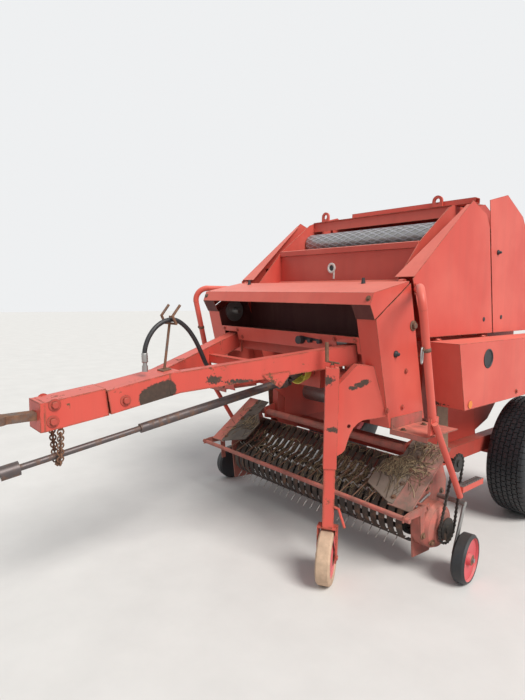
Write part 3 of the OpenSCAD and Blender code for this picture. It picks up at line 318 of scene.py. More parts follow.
def painted(name, paint, faded, settings, fade=1.0, chips=0.3, wear=1.0, width=0.006, dust=0.4,
            dust_height=1.4, streaks=0.25, rough=0.42, spots=(), grime=0.0):
    """Old paint on steel sheet, bleached, chipped and dusty.

    Spots are worn patches: centre, size and how ragged. Grime is how far dirt is caked on.
    """
    n, shader = new_material(name)
    tone = n.group("Sun Fading", Paint=paint, Faded=faded, Amount=fade)["Colour"]
    run = n.group("Dirt Streaks", Amount=streaks)["Mask"]
    tone = n.mix(run, tone, (0.17, 0.065, 0.05))
    bare = n.math("MAXIMUM", n.group("Edge Wear", Width=width, Amount=wear * settings.wear * 1.8)["Mask"],
                  n.group("Paint Chips", Amount=chips)["Mask"])
    rust = n.group("Rust Tones", Rust=tuple(settings.rust))["Colour"]
    tone = n.mix(bare, tone, rust)
    for centre, size, *ragged in spots:
        worn_off = n.spot(centre, size, *ragged)
        tone = n.mix(worn_off, tone, n.mix(n.noise(55, 5), (0.035, 0.030, 0.028), (0.12, 0.075, 0.055)))
        bare = n.math("MAXIMUM", bare, worn_off)
    film = n.group("Field Dust", Amount=dust, Height=dust_height)["Mask"]
    tone = n.mix(film, tone, tuple(settings.dust))
    if grime:
        caked = n.math("MULTIPLY", n.ramp(n.noise(10, 8, 0.72), 0.36, 0.64), grime)
        tone = n.mix(caked, tone, n.mix(n.noise(40, 5), (0.085, 0.058, 0.046), (0.26, 0.20, 0.16)))
        film = n.math("MAXIMUM", film, caked)
    n.feed(shader.inputs["Base Color"], tone)
    shader.inputs["Specular IOR Level"].default_value = 0.3
    matt = n.math("MAXIMUM", bare, film)
    n.feed(shader.inputs["Roughness"], n.ramp(matt, 0.0, 1.0, rough, 0.85))
    n.feed(shader.inputs["Metallic"], n.math("MULTIPLY", bare, 0.2))
    bump(n, shader, n.group("Surface Height", Grain=260.0, Fine=0.12, Dents=1.4)["Height"], 0.35, 0.006)


def metal(name, tone, settings, rust=0.4, dust=0.3, rough=0.38, metallic=0.8, grain=160.0):
    """Bare steel, partly rusted and dusty."""
    n, shader = new_material(name)
    brown = n.group("Rust Tones", Rust=tuple(settings.rust))["Colour"]
    spread = n.ramp(n.noise(15, 7, 0.7), 0.75 - 0.5 * rust, 0.86 - 0.4 * rust)
    base = n.mix(spread, n.mix(n.noise(60, 4), tone, tuple(0.62 * c for c in tone)), brown)
    film = n.group("Field Dust", Amount=dust, Height=2.2)["Mask"]
    n.feed(shader.inputs["Base Color"], n.mix(film, base, tuple(settings.dust)))
    dull = n.math("MAXIMUM", spread, film)
    n.feed(shader.inputs["Metallic"], n.ramp(dull, 0.0, 1.0, metallic, 0.0))
    n.feed(shader.inputs["Roughness"], n.ramp(dull, 0.0, 1.0, rough, 0.9))
    bump(n, shader, n.group("Surface Height", Grain=grain, Fine=0.3, Dents=0.4)["Height"], 0.3, 0.004)


def soft(name, tone, settings, dust=0.5, rough=0.7, grain=90.0, height=1.2):
    """Rubber or plastic with dust in its pores."""
    n, shader = new_material(name)
    base = n.mix(n.ramp(n.noise(24, 6, 0.7), 0.3, 0.7), tone, tuple(min(1, 1.5 * c) for c in tone))
    film = n.group("Field Dust", Amount=dust, Height=height)["Mask"]
    n.feed(shader.inputs["Base Color"], n.mix(film, base, tuple(settings.dust)))
    n.feed(shader.inputs["Roughness"], n.ramp(film, 0.0, 1.0, rough, 0.95))
    bump(n, shader, n.group("Surface Height", Grain=grain, Fine=0.7, Dents=0.3)["Height"], 0.4, 0.003)


def tines():
    """The reel's bars and inner tines are painted shade; the tines' tips are polished by the crop."""
    n, shader = new_material("Tine Steel")
    place = n.add("SeparateXYZ", {"Vector": n.add("TexCoord").outputs["Object"]})
    y = n.math("SUBTRACT", place.outputs["Y"], REEL[0])
    z = n.math("SUBTRACT", place.outputs["Z"], REEL[1])
    far = n.math("SQRT", n.math("ADD", n.math("MULTIPLY", y, y), n.math("MULTIPLY", z, z)), 0)
    tip = n.ramp(far, *TINE_TIP)
    shine = n.mix(n.ramp(n.noise(70, 4), 0.3, 0.7), (0.55, 0.53, 0.50), (0.30, 0.27, 0.24))
    # Dark near the axis: painted shade between the bands; the tips: steel polished by the crop
    n.feed(shader.inputs["Base Color"], n.mix(tip, (0.028, 0.024, 0.022), shine))
    n.feed(shader.inputs["Metallic"], n.math("MULTIPLY", tip, 0.5))
    n.feed(shader.inputs["Roughness"], n.ramp(tip, 0, 1, 0.8, 0.38))
    bump(n, shader, n.group("Surface Height", Grain=300.0, Fine=0.4, Dents=0.2)["Height"], 0.3, 0.002)


def build_materials(settings):
    """Every finish of the baler."""
    paint, faded, worn = tuple(settings.paint), tuple(settings.faded), tuple(settings.worn)
    painted("Sheet Paint", paint, faded, settings, chips=0.2, dust=0.2, dust_height=2.4, streaks=0.10,
            spots=WORN_SHEET)
    painted("Beam Paint", tuple(1.05 * c for c in paint), faded, settings, fade=0.4, chips=0.85, width=0.014,
            dust=0.15, streaks=0.15, spots=WORN_BEAM)
    painted("Deep Shade", (0.075, 0.012, 0.012), (0.10, 0.018, 0.016), settings, fade=0.4, chips=0.4,
            dust=0.35, dust_height=2.6, rough=0.6)
    painted("Shade Paint", tuple(0.8 * c for c in paint), paint, settings, fade=0.5, chips=0.3, dust=0.5,
            dust_height=2.6)
    painted("Pickup Paint", worn, faded, settings, chips=0.6, dust=0.6, dust_height=1.5, streaks=0.6,
            rough=0.6, grime=0.55)
    painted("Crop Sheet", (0.44, 0.11, 0.10), (0.50, 0.22, 0.19), settings, chips=0.5, dust=1.0,
            dust_height=1.1, rough=0.6, grime=0.9)
    painted("Lift Paint", worn, faded, settings, chips=0.6, dust=0.6, dust_height=1.5, streaks=0.3, rough=0.6,
            grime=0.2)
    metal("Shaft Steel", (0.120, 0.098, 0.100), settings, rust=0.5, dust=0.25, rough=0.42, metallic=0.5)
    metal("Lattice Steel", (0.60, 0.60, 0.64), settings, rust=0.12, dust=0.1, rough=0.42, metallic=0.35)
    tines()
    soft("White Rubber", (0.60, 0.58, 0.55), settings, dust=0.3, rough=0.6, height=2.4)
    metal("Roller Steel", tuple(settings.steel), settings, rust=0.15, dust=0.1)
    metal("Bright Steel", tuple(settings.steel), settings, rust=0.3, dust=0.2)
    metal("Rusty Steel", tuple(0.4 * c for c in settings.steel), settings, rust=0.95, dust=0.25, rough=0.5)
    metal("Dark Steel", tuple(settings.dark_steel), settings, rust=0.35, dust=0.35, rough=0.45, metallic=0.5)
    metal("Band Steel", (0.042, 0.027, 0.024), settings, rust=0.5, dust=0.45, rough=0.5, metallic=0.4)
    soft("Tyre Rubber", tuple(settings.rubber), settings, dust=0.14, rough=0.48)
    soft("Tan Rubber", tuple(settings.tan_rubber), settings, dust=0.6, rough=0.85, grain=60.0)
    soft("Black Rubber", tuple(settings.rubber), settings, dust=0.2, rough=0.5, height=2.4)
    soft("Brown Rubber", (0.20, 0.12, 0.08), settings, dust=0.4, rough=0.7)
    soft("Guard Plastic", tuple(settings.yellow), settings, dust=0.5, rough=0.5, height=2.0)
    soft("Lamp Glass", tuple(settings.lamp), settings, dust=0.1, rough=0.15, grain=30.0)
    metal("Reflector", (0.85, 0.24, 0.015), settings, rust=0.0, dust=0.1, rough=0.2, metallic=0.0)
    soft("Worn Mat", (0.085, 0.072, 0.064), settings, dust=0.62, rough=0.85, grain=60.0, height=1.3)
    painted("Dusty Mat", (0.20, 0.155, 0.13), (0.26, 0.21, 0.18), settings, chips=0.0, wear=0.2, dust=1.0,
            dust_height=1.2, rough=0.85, grime=0.7)
    soft("Hose Rubber", (0.012, 0.012, 0.014), settings, dust=0.15, rough=0.42, grain=400.0, height=2.6)
    for label, tone in STRAW_TONES.items():
        soft(label, tone, settings, dust=0.1, rough=0.8, grain=500.0)
    painted("Rim Paint", (0.60, 0.07, 0.09), (0.66, 0.16, 0.17), settings, chips=0.3, dust=0.5,
            dust_height=0.8)


# Mesh tools


def plane(axis):
    """Two directions square to an axis, and the axis itself."""
    w = Vector(axis).normalized()
    u = w.orthogonal().normalized() if abs(w.z) > 0.99 else Vector((0, 0, 1)).cross(w).normalized()
    return u, w.cross(u), w


class Shape:
    """Collects solids for one piece, each with the finish it has."""

    def __init__(self):
        self.mesh = bmesh.new()
        self.finishes = []

    def finish(self, name):
        """A finish's number in this piece, given when it is first used."""
        if name not in self.finishes:
            self.finishes.append(name)
        return self.finishes.index(name)

    def skin(self, rings, finish, loop=False, smooth=True):
        """Joins rings of points by faces, with a cap at each end or, in a loop, from last ring to first.

        Smooth is a yes or no, or a test of a face's number in its ring and how many there are.
        """
        index = self.finish(finish)
        rows = [[self.mesh.verts.new(p) for p in ring] for ring in rings]
        count = len(rows[0])
        made = []
        for a, b in zip(rows, rows[1:] + rows[:1] if loop else rows[1:]):
            for i in range(count):
                k = (i + 1) % count
                made.append(self.mesh.faces.new((a[i], a[k], b[k], b[i])))
                made[-1].smooth = smooth(i, count) if callable(smooth) else smooth
        if not loop:
            made.append(self.mesh.faces.new(list(reversed(rows[0]))))
            made.append(self.mesh.faces.new(rows[-1]))
        for face in made:
            face.material_index = index

    def lathe(self, centre, axis, profile, finish, sides=24, loop=False, phase=0.0):
        """A turned shape: profile is pairs of distance along the axis and radius."""
        u, v, w = plane(axis)
        centre = Vector(centre)
        angles = [phase + 2 * math.pi * i / sides for i in range(sides)]
        rings = [[centre + w * d + (u * math.cos(a) + v * math.sin(a)) * r for a in angles]
                 for d, r in profile]
        self.skin(rings, finish, loop)

    def rod(self, p, q, radius, finish):
        """A round bar between two points, its ends a little rounded."""
        p, q = Vector(p), Vector(q)
        far = (q - p).length
        edge = min(radius * 0.25, far * 0.2)
        profile = [(0, radius - edge), (edge, radius), (far - edge, radius), (far, radius - edge)]
        self.lathe(p, q - p, profile, finish, 12)

    def block(self, low, high, finish, edge=0.002):
        """A box with its upright and lying edges cut off."""
        low, high = Vector(low), Vector(high)
        size = high - low
        edge = min(edge, *(0.3 * c for c in size))
        rings = []
        for z, inset in ((0, edge), (edge, 0), (size.z - edge, 0), (size.z, edge)):
            a, b = inset, inset + edge
            x, y, xx, yy = size.x - b, size.y - b, size.x - a, size.y - a
            ring = [(b, a), (x, a), (xx, b), (xx, y), (x, yy), (b, yy), (a, y), (a, b)]
            rings.append([low + Vector((px, py, z)) for px, py in ring])
        self.skin(rings, finish, smooth=False)

    def tube(self, path, radius, finish, sides=10):
        """A round tube along points, its rings turned with the path."""
        path = [Vector(p) for p in path]
        last = len(path) - 1
        way = [(path[min(i + 1, last)] - path[max(i - 1, 0)]).normalized() for i in range(last + 1)]
        side = way[0].orthogonal().normalized()
        angles = [2 * math.pi * i / sides for i in range(sides)]
        rings = []
        for p, w in zip(path, way):
            side = (side - w * side.dot(w)).normalized()
            up = w.cross(side)
            rings.append([p + (side * math.cos(a) + up * math.sin(a)) * radius for a in angles])
        self.skin(rings, finish)

    def bolt(self, place, axis, size, finish="Bright Steel"):
        """A hexagon head on a washer; size is the head's width, and the rest is in shares of it."""
        half = size * 0.577
        washer = [(-0.001, size * 0.98), (size * 0.14, size * 0.98), (size * 0.16, size * 0.93)]
        head = [(size * 0.10, half), (size * 0.62, half), (size * 0.70, half * 0.86)]
        self.lathe(place, axis, washer, finish, 16)
        self.lathe(place, axis, head, finish, 6, phase=math.fmod(abs(sum(place)) * 37.0, 1.0))

    def piece(self, name, body, slot=None):
        """Makes the object and lets it ride on its body."""
        data = bpy.data.meshes.new(name)
        bmesh.ops.recalc_face_normals(self.mesh, faces=self.mesh.faces[:])
        self.mesh.to_mesh(data)
        self.mesh.free()
        for finish in self.finishes:
            data.materials.append(bpy.data.materials[finish])
        obj = bpy.data.objects.new(name, data)
        bpy.context.scene.collection.objects.link(obj)
        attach(obj, body)
        return obj


def smooth_line(points, steps):
    """A smooth curve through points, with steps between two neighbours."""
    line = []
    last = len(points) - 1
    for i in range(last):
        a, b, c, d = (Vector(points[min(max(k, 0), last)]) for k in (i - 1, i, i + 1, i + 2))
        for j in range(steps):
            k = j / steps
            square, cube = 2 * a - 5 * b + 4 * c - d, 3 * b - a - 3 * c + d
            line.append((2 * b + (c - a) * k + square * k ** 2 + cube * k ** 3) / 2)
    line.append(Vector(points[-1]))
    return line


# Places, sizes and finishes

# Reel's axis: place along the machine and height; and how far from it the tines begin to shine and are bright
# Nearer the axis than that, the tines are painted dark, as painted shade between the bands
REEL, TINE_TIP = (0.17, 0.285), (0.138, 0.165)
# Patches worn bare: centre, size and how ragged. The first five run along the left beam.
WORN_BEAM = [
    *(((0.066 + 0.012 * i, -1.20 + 0.031 * i, 1.040 + 0.0075 * i), (0.06, 0.042, 0.060), 0.35)
      for i in range(5)),
    ((0.20, -0.87, 1.115), (0.05, 0.034, 0.022), 1.6),
    ((0.105, -1.23, 0.985), (0.05, 0.06, 0.018)),
    ((0.26, -0.74, 1.105), (0.06, 0.09, 0.012)),
    ((-0.20, -0.86, 1.11), (0.06, 0.05, 0.03)),
    ((0.571, -0.42, 0.72), (0.06, 0.03, 0.05)),
]
WORN_SHEET = [
    ((0.668, -0.221, 1.105), (0.020, 0.034, 0.016), 1.2),
    ((0.652, -0.249, 1.090), (0.020, 0.034, 0.015), 1.2),
    ((0.634, -0.280, 1.074), (0.020, 0.034, 0.011), 1.4),
    ((0.571, -0.42, 1.12), (0.06, 0.03, 0.022)),
    ((0.60, -0.39, 0.86), (0.05, 0.03, 0.014)),
    ((0.745, 0.30, 0.945), (0.10, 0.05, 0.010)),
]

# Which finish each CAD node has; {} in a node's name stands for left and right
FINISH = {
    "Sheet Paint": ["net_box", "upper_cover_{}", "side_box_{}", "net_lid", "tail_covers", "jack_mount",
                    "top_beam", "tailgate", "chamber_walls", "chamber_front", "control_panel",
                    "guard_bow_{}"],
    "Beam Paint": ["drawbar", "drawbar_head", "jack_leg"],
    "Shade Paint": ["chassis", "axle", "gearbox", "cylinder_barrel_{}"],
    "Pickup Paint": ["pickup_frame", "windguard", "steps"],
    "Crop Sheet": ["deflectors"],
    "Roller Steel": ["top_roller"],
    "Bright Steel": ["front_rollers", "tailgate_rollers", "net_brake", "cylinder_rod_{}", "gauge_arms",
                     "hose_coupler"],
    "Rusty Steel": ["tow_eye", "hose_rest", "pto_chain"],
    "Shaft Steel": ["pto_outer", "pto_inner"],
    "Tine Steel": ["pickup_reel"],
    "Dark Steel": ["pickup_drive"],
    "Band Steel": ["pickup_bands"],
    "Tyre Rubber": ["tyre_{}", "gauge_wheel_{}"],
    "Tan Rubber": ["jack_wheel"],
    "Rim Paint": ["rim_{}"],
    "Guard Plastic": ["input_guard"],
    "Brown Rubber": ["chain_cover"],
    "Lamp Glass": ["tail_lamps"],
    "Hose Rubber": ["hydraulic_hose"],
}

# Main tyre: its width, its tread's radius in the middle, and how far that falls off towards the shoulders
TYRE_WIDE, TREAD_R, TREAD_FALL = 0.288, 0.4225, 0.008
# Grooves round it: their places across, half a groove's width, its depth and its wave
GROOVES = [0.058, 0.092, 0.126, 0.162, 0.196, 0.230]
GROOVE_HALF, GROOVE_DEEP, GROOVE_WAVE = 0.0045, 0.008, 0.004
# Tread: how often it repeats, the steps in one repeat, those at which each row of blocks is cut, and a
# cut's depth
TREAD_REPEATS = 64
TREAD_STEPS = [0.0, 0.05, 0.10, 0.15, 0.32, 0.5, 0.55, 0.60, 0.65, 0.82]
CUT_STEPS, CUT_DEEP = ((0.05, 0.10), (0.55, 0.60)), 0.0055
# The tyre's side and its shoulder: across from the inner face, radius
TYRE_SIDE = [(0.046, 0.2005), (0.030, 0.205), (0.0165, 0.222), (0.011, 0.232), (0.0125, 0.240),
             (0.0055, 0.262), (0.0015, 0.290), (0.0, 0.312), (0.0012, 0.336), (0.0045, 0.362),
             (0.0085, 0.380), (0.0135, 0.3945)]
TYRE_SHOULDER = [(0.0175, 0.4035), (0.024, 0.4115), (0.033, 0.4175)]
# Wheel nuts: how many, their width, their circle's radius, and their face's place from the tyre's inner face
NUTS, NUT_WIDE, NUT_CIRCLE, NUT_FACE = 6, 0.024, 0.092, 0.178
# The hub's cap: the place of its face from the tyre's inner face, and its profile
CAP_FACE, CAP = 0.226, [(-0.001, 0.034), (0.012, 0.034), (0.020, 0.028), (0.024, 0.012)]

# Lattice on the top roller: its axis, half its length, its radius, strands each way, the pitch between two
# of them along the roller, steps along a strand, and half a strand's width and thickness
LATTICE_Y, LATTICE_Z = 0.659918, 1.968756
LATTICE_HALF, LATTICE_R = 0.588, 0.0712
LATTICE_STRANDS, LATTICE_PITCH, LATTICE_STEPS = 13, 0.086, 60
STRAND_WIDE, STRAND_THICK = 0.0032, 0.0016
STRAND_CORNERS = ((-1, -1), (1, -1), (1, 1), (-1, 1))

# Hydraulic hose: its place across, its radius, and its route along and up in millimetres, as in the CAD
# source
HOSE_X, HOSE_R = 0.028, 0.012
HOSE_WAY = [(-561, 1150), (-608, 1149), (-664, 1114), (-716, 1099), (-764, 1126), (-800, 1180),
            (-832, 1244), (-874, 1318), (-926, 1380), (-986, 1417.5), (-1046, 1416), (-1102, 1386),
            (-1144, 1334), (-1166, 1272), (-1166, 1210)]
# Sleeve on each end of the hose: distance from the end, radius
SLEEVE = [(0.0005, 0.0155), (0.006, 0.0165), (0.012, 0.0148), (0.018, 0.0165), (0.024, 0.0148),
          (0.030, 0.0165), (0.036, 0.0148), (0.044, 0.0158), (0.048, 0.0135)]

# Straw: box that it falls in, how many stalks, the longest
STRAW = [
    ((-0.88, -0.09, 0.30), (-0.60, 0.27, 0.9), 30, 0.10),
    ((0.58, 0.05, 0.30), (0.88, 0.27, 0.9), 100, 0.15),
    ((-0.74, 0.03, 0.30), (0.0, 0.30, 0.62), 800, 0.20),
    ((0.0, 0.03, 0.30), (0.74, 0.30, 0.62), 2400, 0.22),
]
STRAW_SEED = 11
STRAW_TONES = {
    "Pale Straw": (0.36, 0.28, 0.17),
    "Dry Straw": (0.20, 0.145, 0.085),
    "Old Straw": (0.085, 0.060, 0.038),
}
# A stalk: points along it, and the greatest step in height between two of them
STALK_POINTS, STALK_STEP = 6, 0.05
# Mean and spread of its heading, its greatest bend to either side, its least length, and its thinnest and
# thickest radius
STALK_HEADING, STALK_BEND, STALK_SHORT, STALK_R = (1.2, 0.9), 1.4, 0.04, (0.0009, 0.0018)
# How far it always lies above what it lies on, and how far it may rise further
STALK_LIFT, STALK_RISE = 0.0012, 0.004

# How far the sheets' edges are rounded, and from which angle on
EDGE_ROUND, EDGE_ANGLE = 0.0012, math.radians(40)


def labels(*nodes):
    """The nodes' full names, with left and right for {}."""
    return list(dict.fromkeys(node.format(name) for node in nodes for _, name in SIDES))


def soften(obj):
    """Rounds the sheet's edges a little and shades the rest smooth."""
    for face in obj.data.polygons:
        face.use_smooth = True
    rounding = obj.modifiers.new("Edges", "BEVEL")
    rounding.width = EDGE_ROUND
    rounding.segments = 2
    rounding.limit_method = "ANGLE"
    rounding.angle_limit = EDGE_ANGLE
    rounding.use_clamp_overlap = True
    rounding.harden_normals = True


def within(low, high):
    """A test that a point lies in a box."""
    return lambda p: all(a <= c <= b for a, c, b in zip(low, p, high))


def near_axis(y, z, radius, x_low=-2.0, x_high=2.0):
    """A test that a point lies near a line along X."""
    return lambda p: math.hypot(p.y - y, p.z - z) < radius and x_low < p.x < x_high


def near_line(centre, axis, radius):
    """A test that a point lies near a slanted line."""
    centre, axis = Vector(centre), Vector(axis).normalized()
    return lambda p: ((p - centre) - axis * (p - centre).dot(axis)).length < radius


# The windguard's fingers: the last one's place across, their pitch, a little over half their thickness, and
# the height over which and the place behind which they are clear of the guard's tube
FINGER_X, FINGER_PITCH, FINGER_HALF = 0.63, 0.09, 0.0046
FINGER_LOW, FINGER_FRONT = 0.40, -0.150


def finger(p):
    """Whether a point is on one of the windguard's fingers."""
    beside = abs(math.remainder(p.x + FINGER_X, FINGER_PITCH))
    return abs(p.x) < FINGER_X + 0.01 and beside < FINGER_HALF and p.z > FINGER_LOW and p.y > FINGER_FRONT


def mirrored(test):
    """The same test on the machine's two sides."""
    return lambda p: test(Vector((abs(p.x), p.y, p.z)))


# The jack's wheel and the left gauge wheel: middle, axis
JACK_WHEEL, JACK_AXIS = (0.571, -0.375, 0.15), (0.848048, 0.529919, 0)
GAUGE_WHEEL, GAUGE_AXIS = (1.049, 0.223, 0.135), (0.987688, 0.156434, 0)
# Middle of the left side box's round port
PORT_PLACE = (0.9600, 0.542, 1.208)

# Faces of a CAD node with another finish than the rest: node, finish, test of each corner, and what patch()
# takes after it. {} in a node's name stands for left and right.
PATCHES = [
    ("control_panel", "Black Rubber", within((0.14, -0.34, 1.20), (0.36, -0.05, 1.38))),
    ("net_lid", "Black Rubber", within((-0.58, -0.035, 1.60), (-0.54, 0.005, 1.665))),
    ("net_lid", "Black Rubber", within((0.45, -0.035, 1.60), (0.49, 0.005, 1.665))),
    ("jack_wheel", "Rim Paint", near_line(JACK_WHEEL, JACK_AXIS, 0.112)),
    ("jack_wheel", "Rusty Steel", near_line(JACK_WHEEL, JACK_AXIS, 0.046)),
    ("gauge_wheel_{}", "Rim Paint", mirrored(near_line(GAUGE_WHEEL, GAUGE_AXIS, 0.118))),
    ("gauge_wheel_{}", "Rusty Steel", mirrored(near_line(GAUGE_WHEEL, GAUGE_AXIS, 0.0285))),
    ("deflectors", "Worn Mat", within((-0.7805, -0.1, 0.41), (-0.56, 0.3, 0.73))),
    ("deflectors", "Dusty Mat", within((0.56, -0.1, 0.41), (0.7805, 0.3, 0.73))),
    ("deflectors", "Lift Paint", within((-1.0, -0.2, 0.3), (-0.7795, 0.4, 0.8))),
    ("windguard", "Rusty Steel", finger),
    ("tow_eye", "Beam Paint", within((-0.08, -1.6905, 0.9), (0.08, -1.669, 1.1))),
    ("pickup_reel", "Dark Steel", within((0.9, -0.2, 0), (1.0, 0.6, 0.6))),
    ("control_panel", "Deep Shade", within((-0.7, -0.18, 1.20), (0.7, 0.1, 1.62)), any),
    ("net_box", "Deep Shade", mirrored(within((0.60, -0.4, 1.10), (0.6195, 0.2, 1.62)))),
    ("net_lid", "Deep Shade", within((-0.75, -0.4, 1.3), (0.75, 0.1, 1.7)), all, -0.3),
    ("pickup_frame", "Bright Steel", within((0.8205, 0.04, 0.37), (0.86, 0.23, 0.46))),
    ("pickup_frame", "Rusty Steel", near_axis(*REEL, 0.085, 0.9)),
    ("jack_mount", "Rusty Steel", within((0.5, -0.42, 1.196), (0.66, -0.33, 1.32))),
    ("side_box_{}", "Reflector", mirrored(within((0.9602, 0.32, 0.93), (0.97, 0.375, 0.99)))),
    ("side_box_{}", "Dark Steel", mirrored(near_axis(*PORT_PLACE[1:], 0.056, 0.9, 0.958))),
    ("guard_bow_{}", "Bright Steel", mirrored(within((0.95, 0.18, 0.525), (1.03, 0.46, 0.55)))),
]


def patch(node, finish, test, need=all, highest=1.0):
    """Gives another finish to the faces whose corners, all of them or any, pass a test.

    A highest below 1 leaves out the faces whose normal has a greater Z than that.
    """
    data = frame["nodes"][node].data
    passed = [test(v.co) for v in data.vertices]
    faces = [f for f in data.polygons if need(passed[i] for i in f.vertices) and f.normal.z <= highest]
    if faces:
        data.materials.append(bpy.data.materials[finish])
        for face in faces:
            face.material_index = len(data.materials) - 1


class Skin:
    """Finds points on the surface of CAD nodes."""

    def __init__(self, *nodes):
        points, faces = [], []
        for node in nodes:
            data = frame["nodes"][node].data
            start = len(points)
            points += [v.co.copy() for v in data.vertices]
            faces += [[start + i for i in f.vertices] for f in data.polygons]
        self.tree = BVHTree.FromPolygons(points, faces)

    def hit(self, start, way):
        """The first point met from a start, and the surface's direction there."""
        way = Vector(way).normalized()
        place, normal, _, _ = self.tree.ray_cast(Vector(start), way)
        if place is None:
            return None, None
        return place, normal if normal.dot(way) < 0 else -normal


# Steps


class BALER_OT_finishes(bpy.types.Operator):
    """Makes the materials and gives each CAD node its own"""

    bl_idname = "baler.finishes"
    bl_label = "Finishes"

    def execute(self, context):
        build_effects()
        build_materials(context.scene.baler_paint)
        for finish, nodes in FINISH.items():
            for label in labels(*nodes):
                piece = frame["nodes"][label]
                piece.data.materials.clear()
                piece.data.materials.append(bpy.data.materials[finish])
                soften(piece)
        for node, *row in PATCHES:
            for label in labels(node):
                patch(label, *row)
        return {"FINISHED"}


def tread_profile(step):
    """A tyre's outer outline across its width at one step of its tread: across, radius."""
    wave = GROOVE_WAVE * (1 - 4 * abs(step - 0.5))
    cut = [CUT_DEEP if step in steps else 0.0 for steps in CUT_STEPS]
    crown = []
    for i, middle in enumerate(GROOVES):
        centre = middle + (wave if i % 2 else -wave)
        for part, depth in ((-1, 0), (-0.6, GROOVE_DEEP), (0.6, GROOVE_DEEP), (1, 0)):
            crown.append((centre + part * GROOVE_HALF, depth))
    points = [(a, r - cut[0]) for a, r in TYRE_SHOULDER]
    for k, (across, depth) in enumerate(crown):
        drop = depth if depth else cut[(k + 2) // 4 % 2]
        fall = ((across - TYRE_WIDE / 2) / (TYRE_WIDE / 2)) ** 4 * TREAD_FALL
        points.append((across, TREAD_R - fall - drop))
    last = len(GROOVES) % 2
    far = [(TYRE_WIDE - a, r - cut[last]) for a, r in reversed(TYRE_SHOULDER)]
    back = [(TYRE_WIDE - a, r) for a, r in reversed(TYRE_SIDE)]
    return TYRE_SIDE + points + far + back


def tyre_smooth(i, count):
    """Whether a face of the tyre's outline is on its side, and not on its tread."""
    return i < len(TYRE_SIDE) - 1 or i > count - len(TYRE_SIDE) - 2


class BALER_OT_tyres(bpy.types.Operator):
    """Makes the main tyres with their tread, and the wheels' nuts"""

    bl_idname = "baler.tyres"
    bl_label = "Tyres"

    def execute(self, context):
        for side, name in SIDES:
            low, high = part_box(f"tyre_{name}")
            x, y, z = [(a + b) / 2 for a, b in zip(low, high)]
            inner = x - side * TYRE_WIDE / 2
            rings = []
            for repeat in range(TREAD_REPEATS):
                for step in TREAD_STEPS:
                    turn = 2 * math.pi * (repeat + step) / TREAD_REPEATS
                    rings.append([Vector((inner + side * a, y + r * math.cos(turn), z + r * math.sin(turn)))
                                  for a, r in tread_profile(step)])
            tyre = Shape()
            tyre.skin(rings, "Tyre Rubber", loop=True, smooth=tyre_smooth)
            made = tyre.piece(f"main_tyre_{name}", f"wheel_{name}", "tyre")
            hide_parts(f"tyre_{name}")
            nuts = Shape()
            for k in range(NUTS):
                a = 2 * math.pi * (k + 0.5) / NUTS
                place = (inner + side * NUT_FACE, y + NUT_CIRCLE * math.cos(a), z + NUT_CIRCLE * math.sin(a))
                nuts.bolt(place, (side, 0, 0), NUT_WIDE)
            nuts.lathe((inner + side * CAP_FACE, y, z), (side, 0, 0), CAP, "Dark Steel")
            nuts.piece(f"wheel_nuts_{name}", f"wheel_{name}", "bare_steel")
        return {"FINISHED"}


class BALER_OT_roller(bpy.types.Operator):
    """Wraps the top roller in its lattice of expanded steel"""

    bl_idname = "baler.roller"
    bl_label = "Roller lattice"

    def execute(self, context):
        net = Shape()
        turns = 2 * LATTICE_HALF / (LATTICE_PITCH * LATTICE_STRANDS)
        for hand in (1, -1):
            around = 2 * math.pi * hand * turns / LATTICE_STEPS * LATTICE_R
            for strand in range(LATTICE_STRANDS):
                rings = []
                for i in range(LATTICE_STEPS + 1):
                    t = i / LATTICE_STEPS
                    a = 2 * math.pi * (strand / LATTICE_STRANDS + hand * turns * t)
                    cos, sin = math.cos(a), math.sin(a)
                    place = Vector((-LATTICE_HALF + 2 * LATTICE_HALF * t, LATTICE_Y + LATTICE_R * cos,
                                    LATTICE_Z + LATTICE_R * sin))
                    out = Vector((0, cos, sin))
                    along = Vector((2 * LATTICE_HALF / LATTICE_STEPS, 0, 0)) + Vector((0, -sin, cos)) * around
                    side = along.normalized().cross(out)
                    rings.append([place + side * b * STRAND_WIDE + out * c * STRAND_THICK
                                  for b, c in STRAND_CORNERS])
                net.skin(rings, "Lattice Steel", smooth=False)
        net.piece("roller_lattice", "top_roller", "bare_steel")
        return {"FINISHED"}


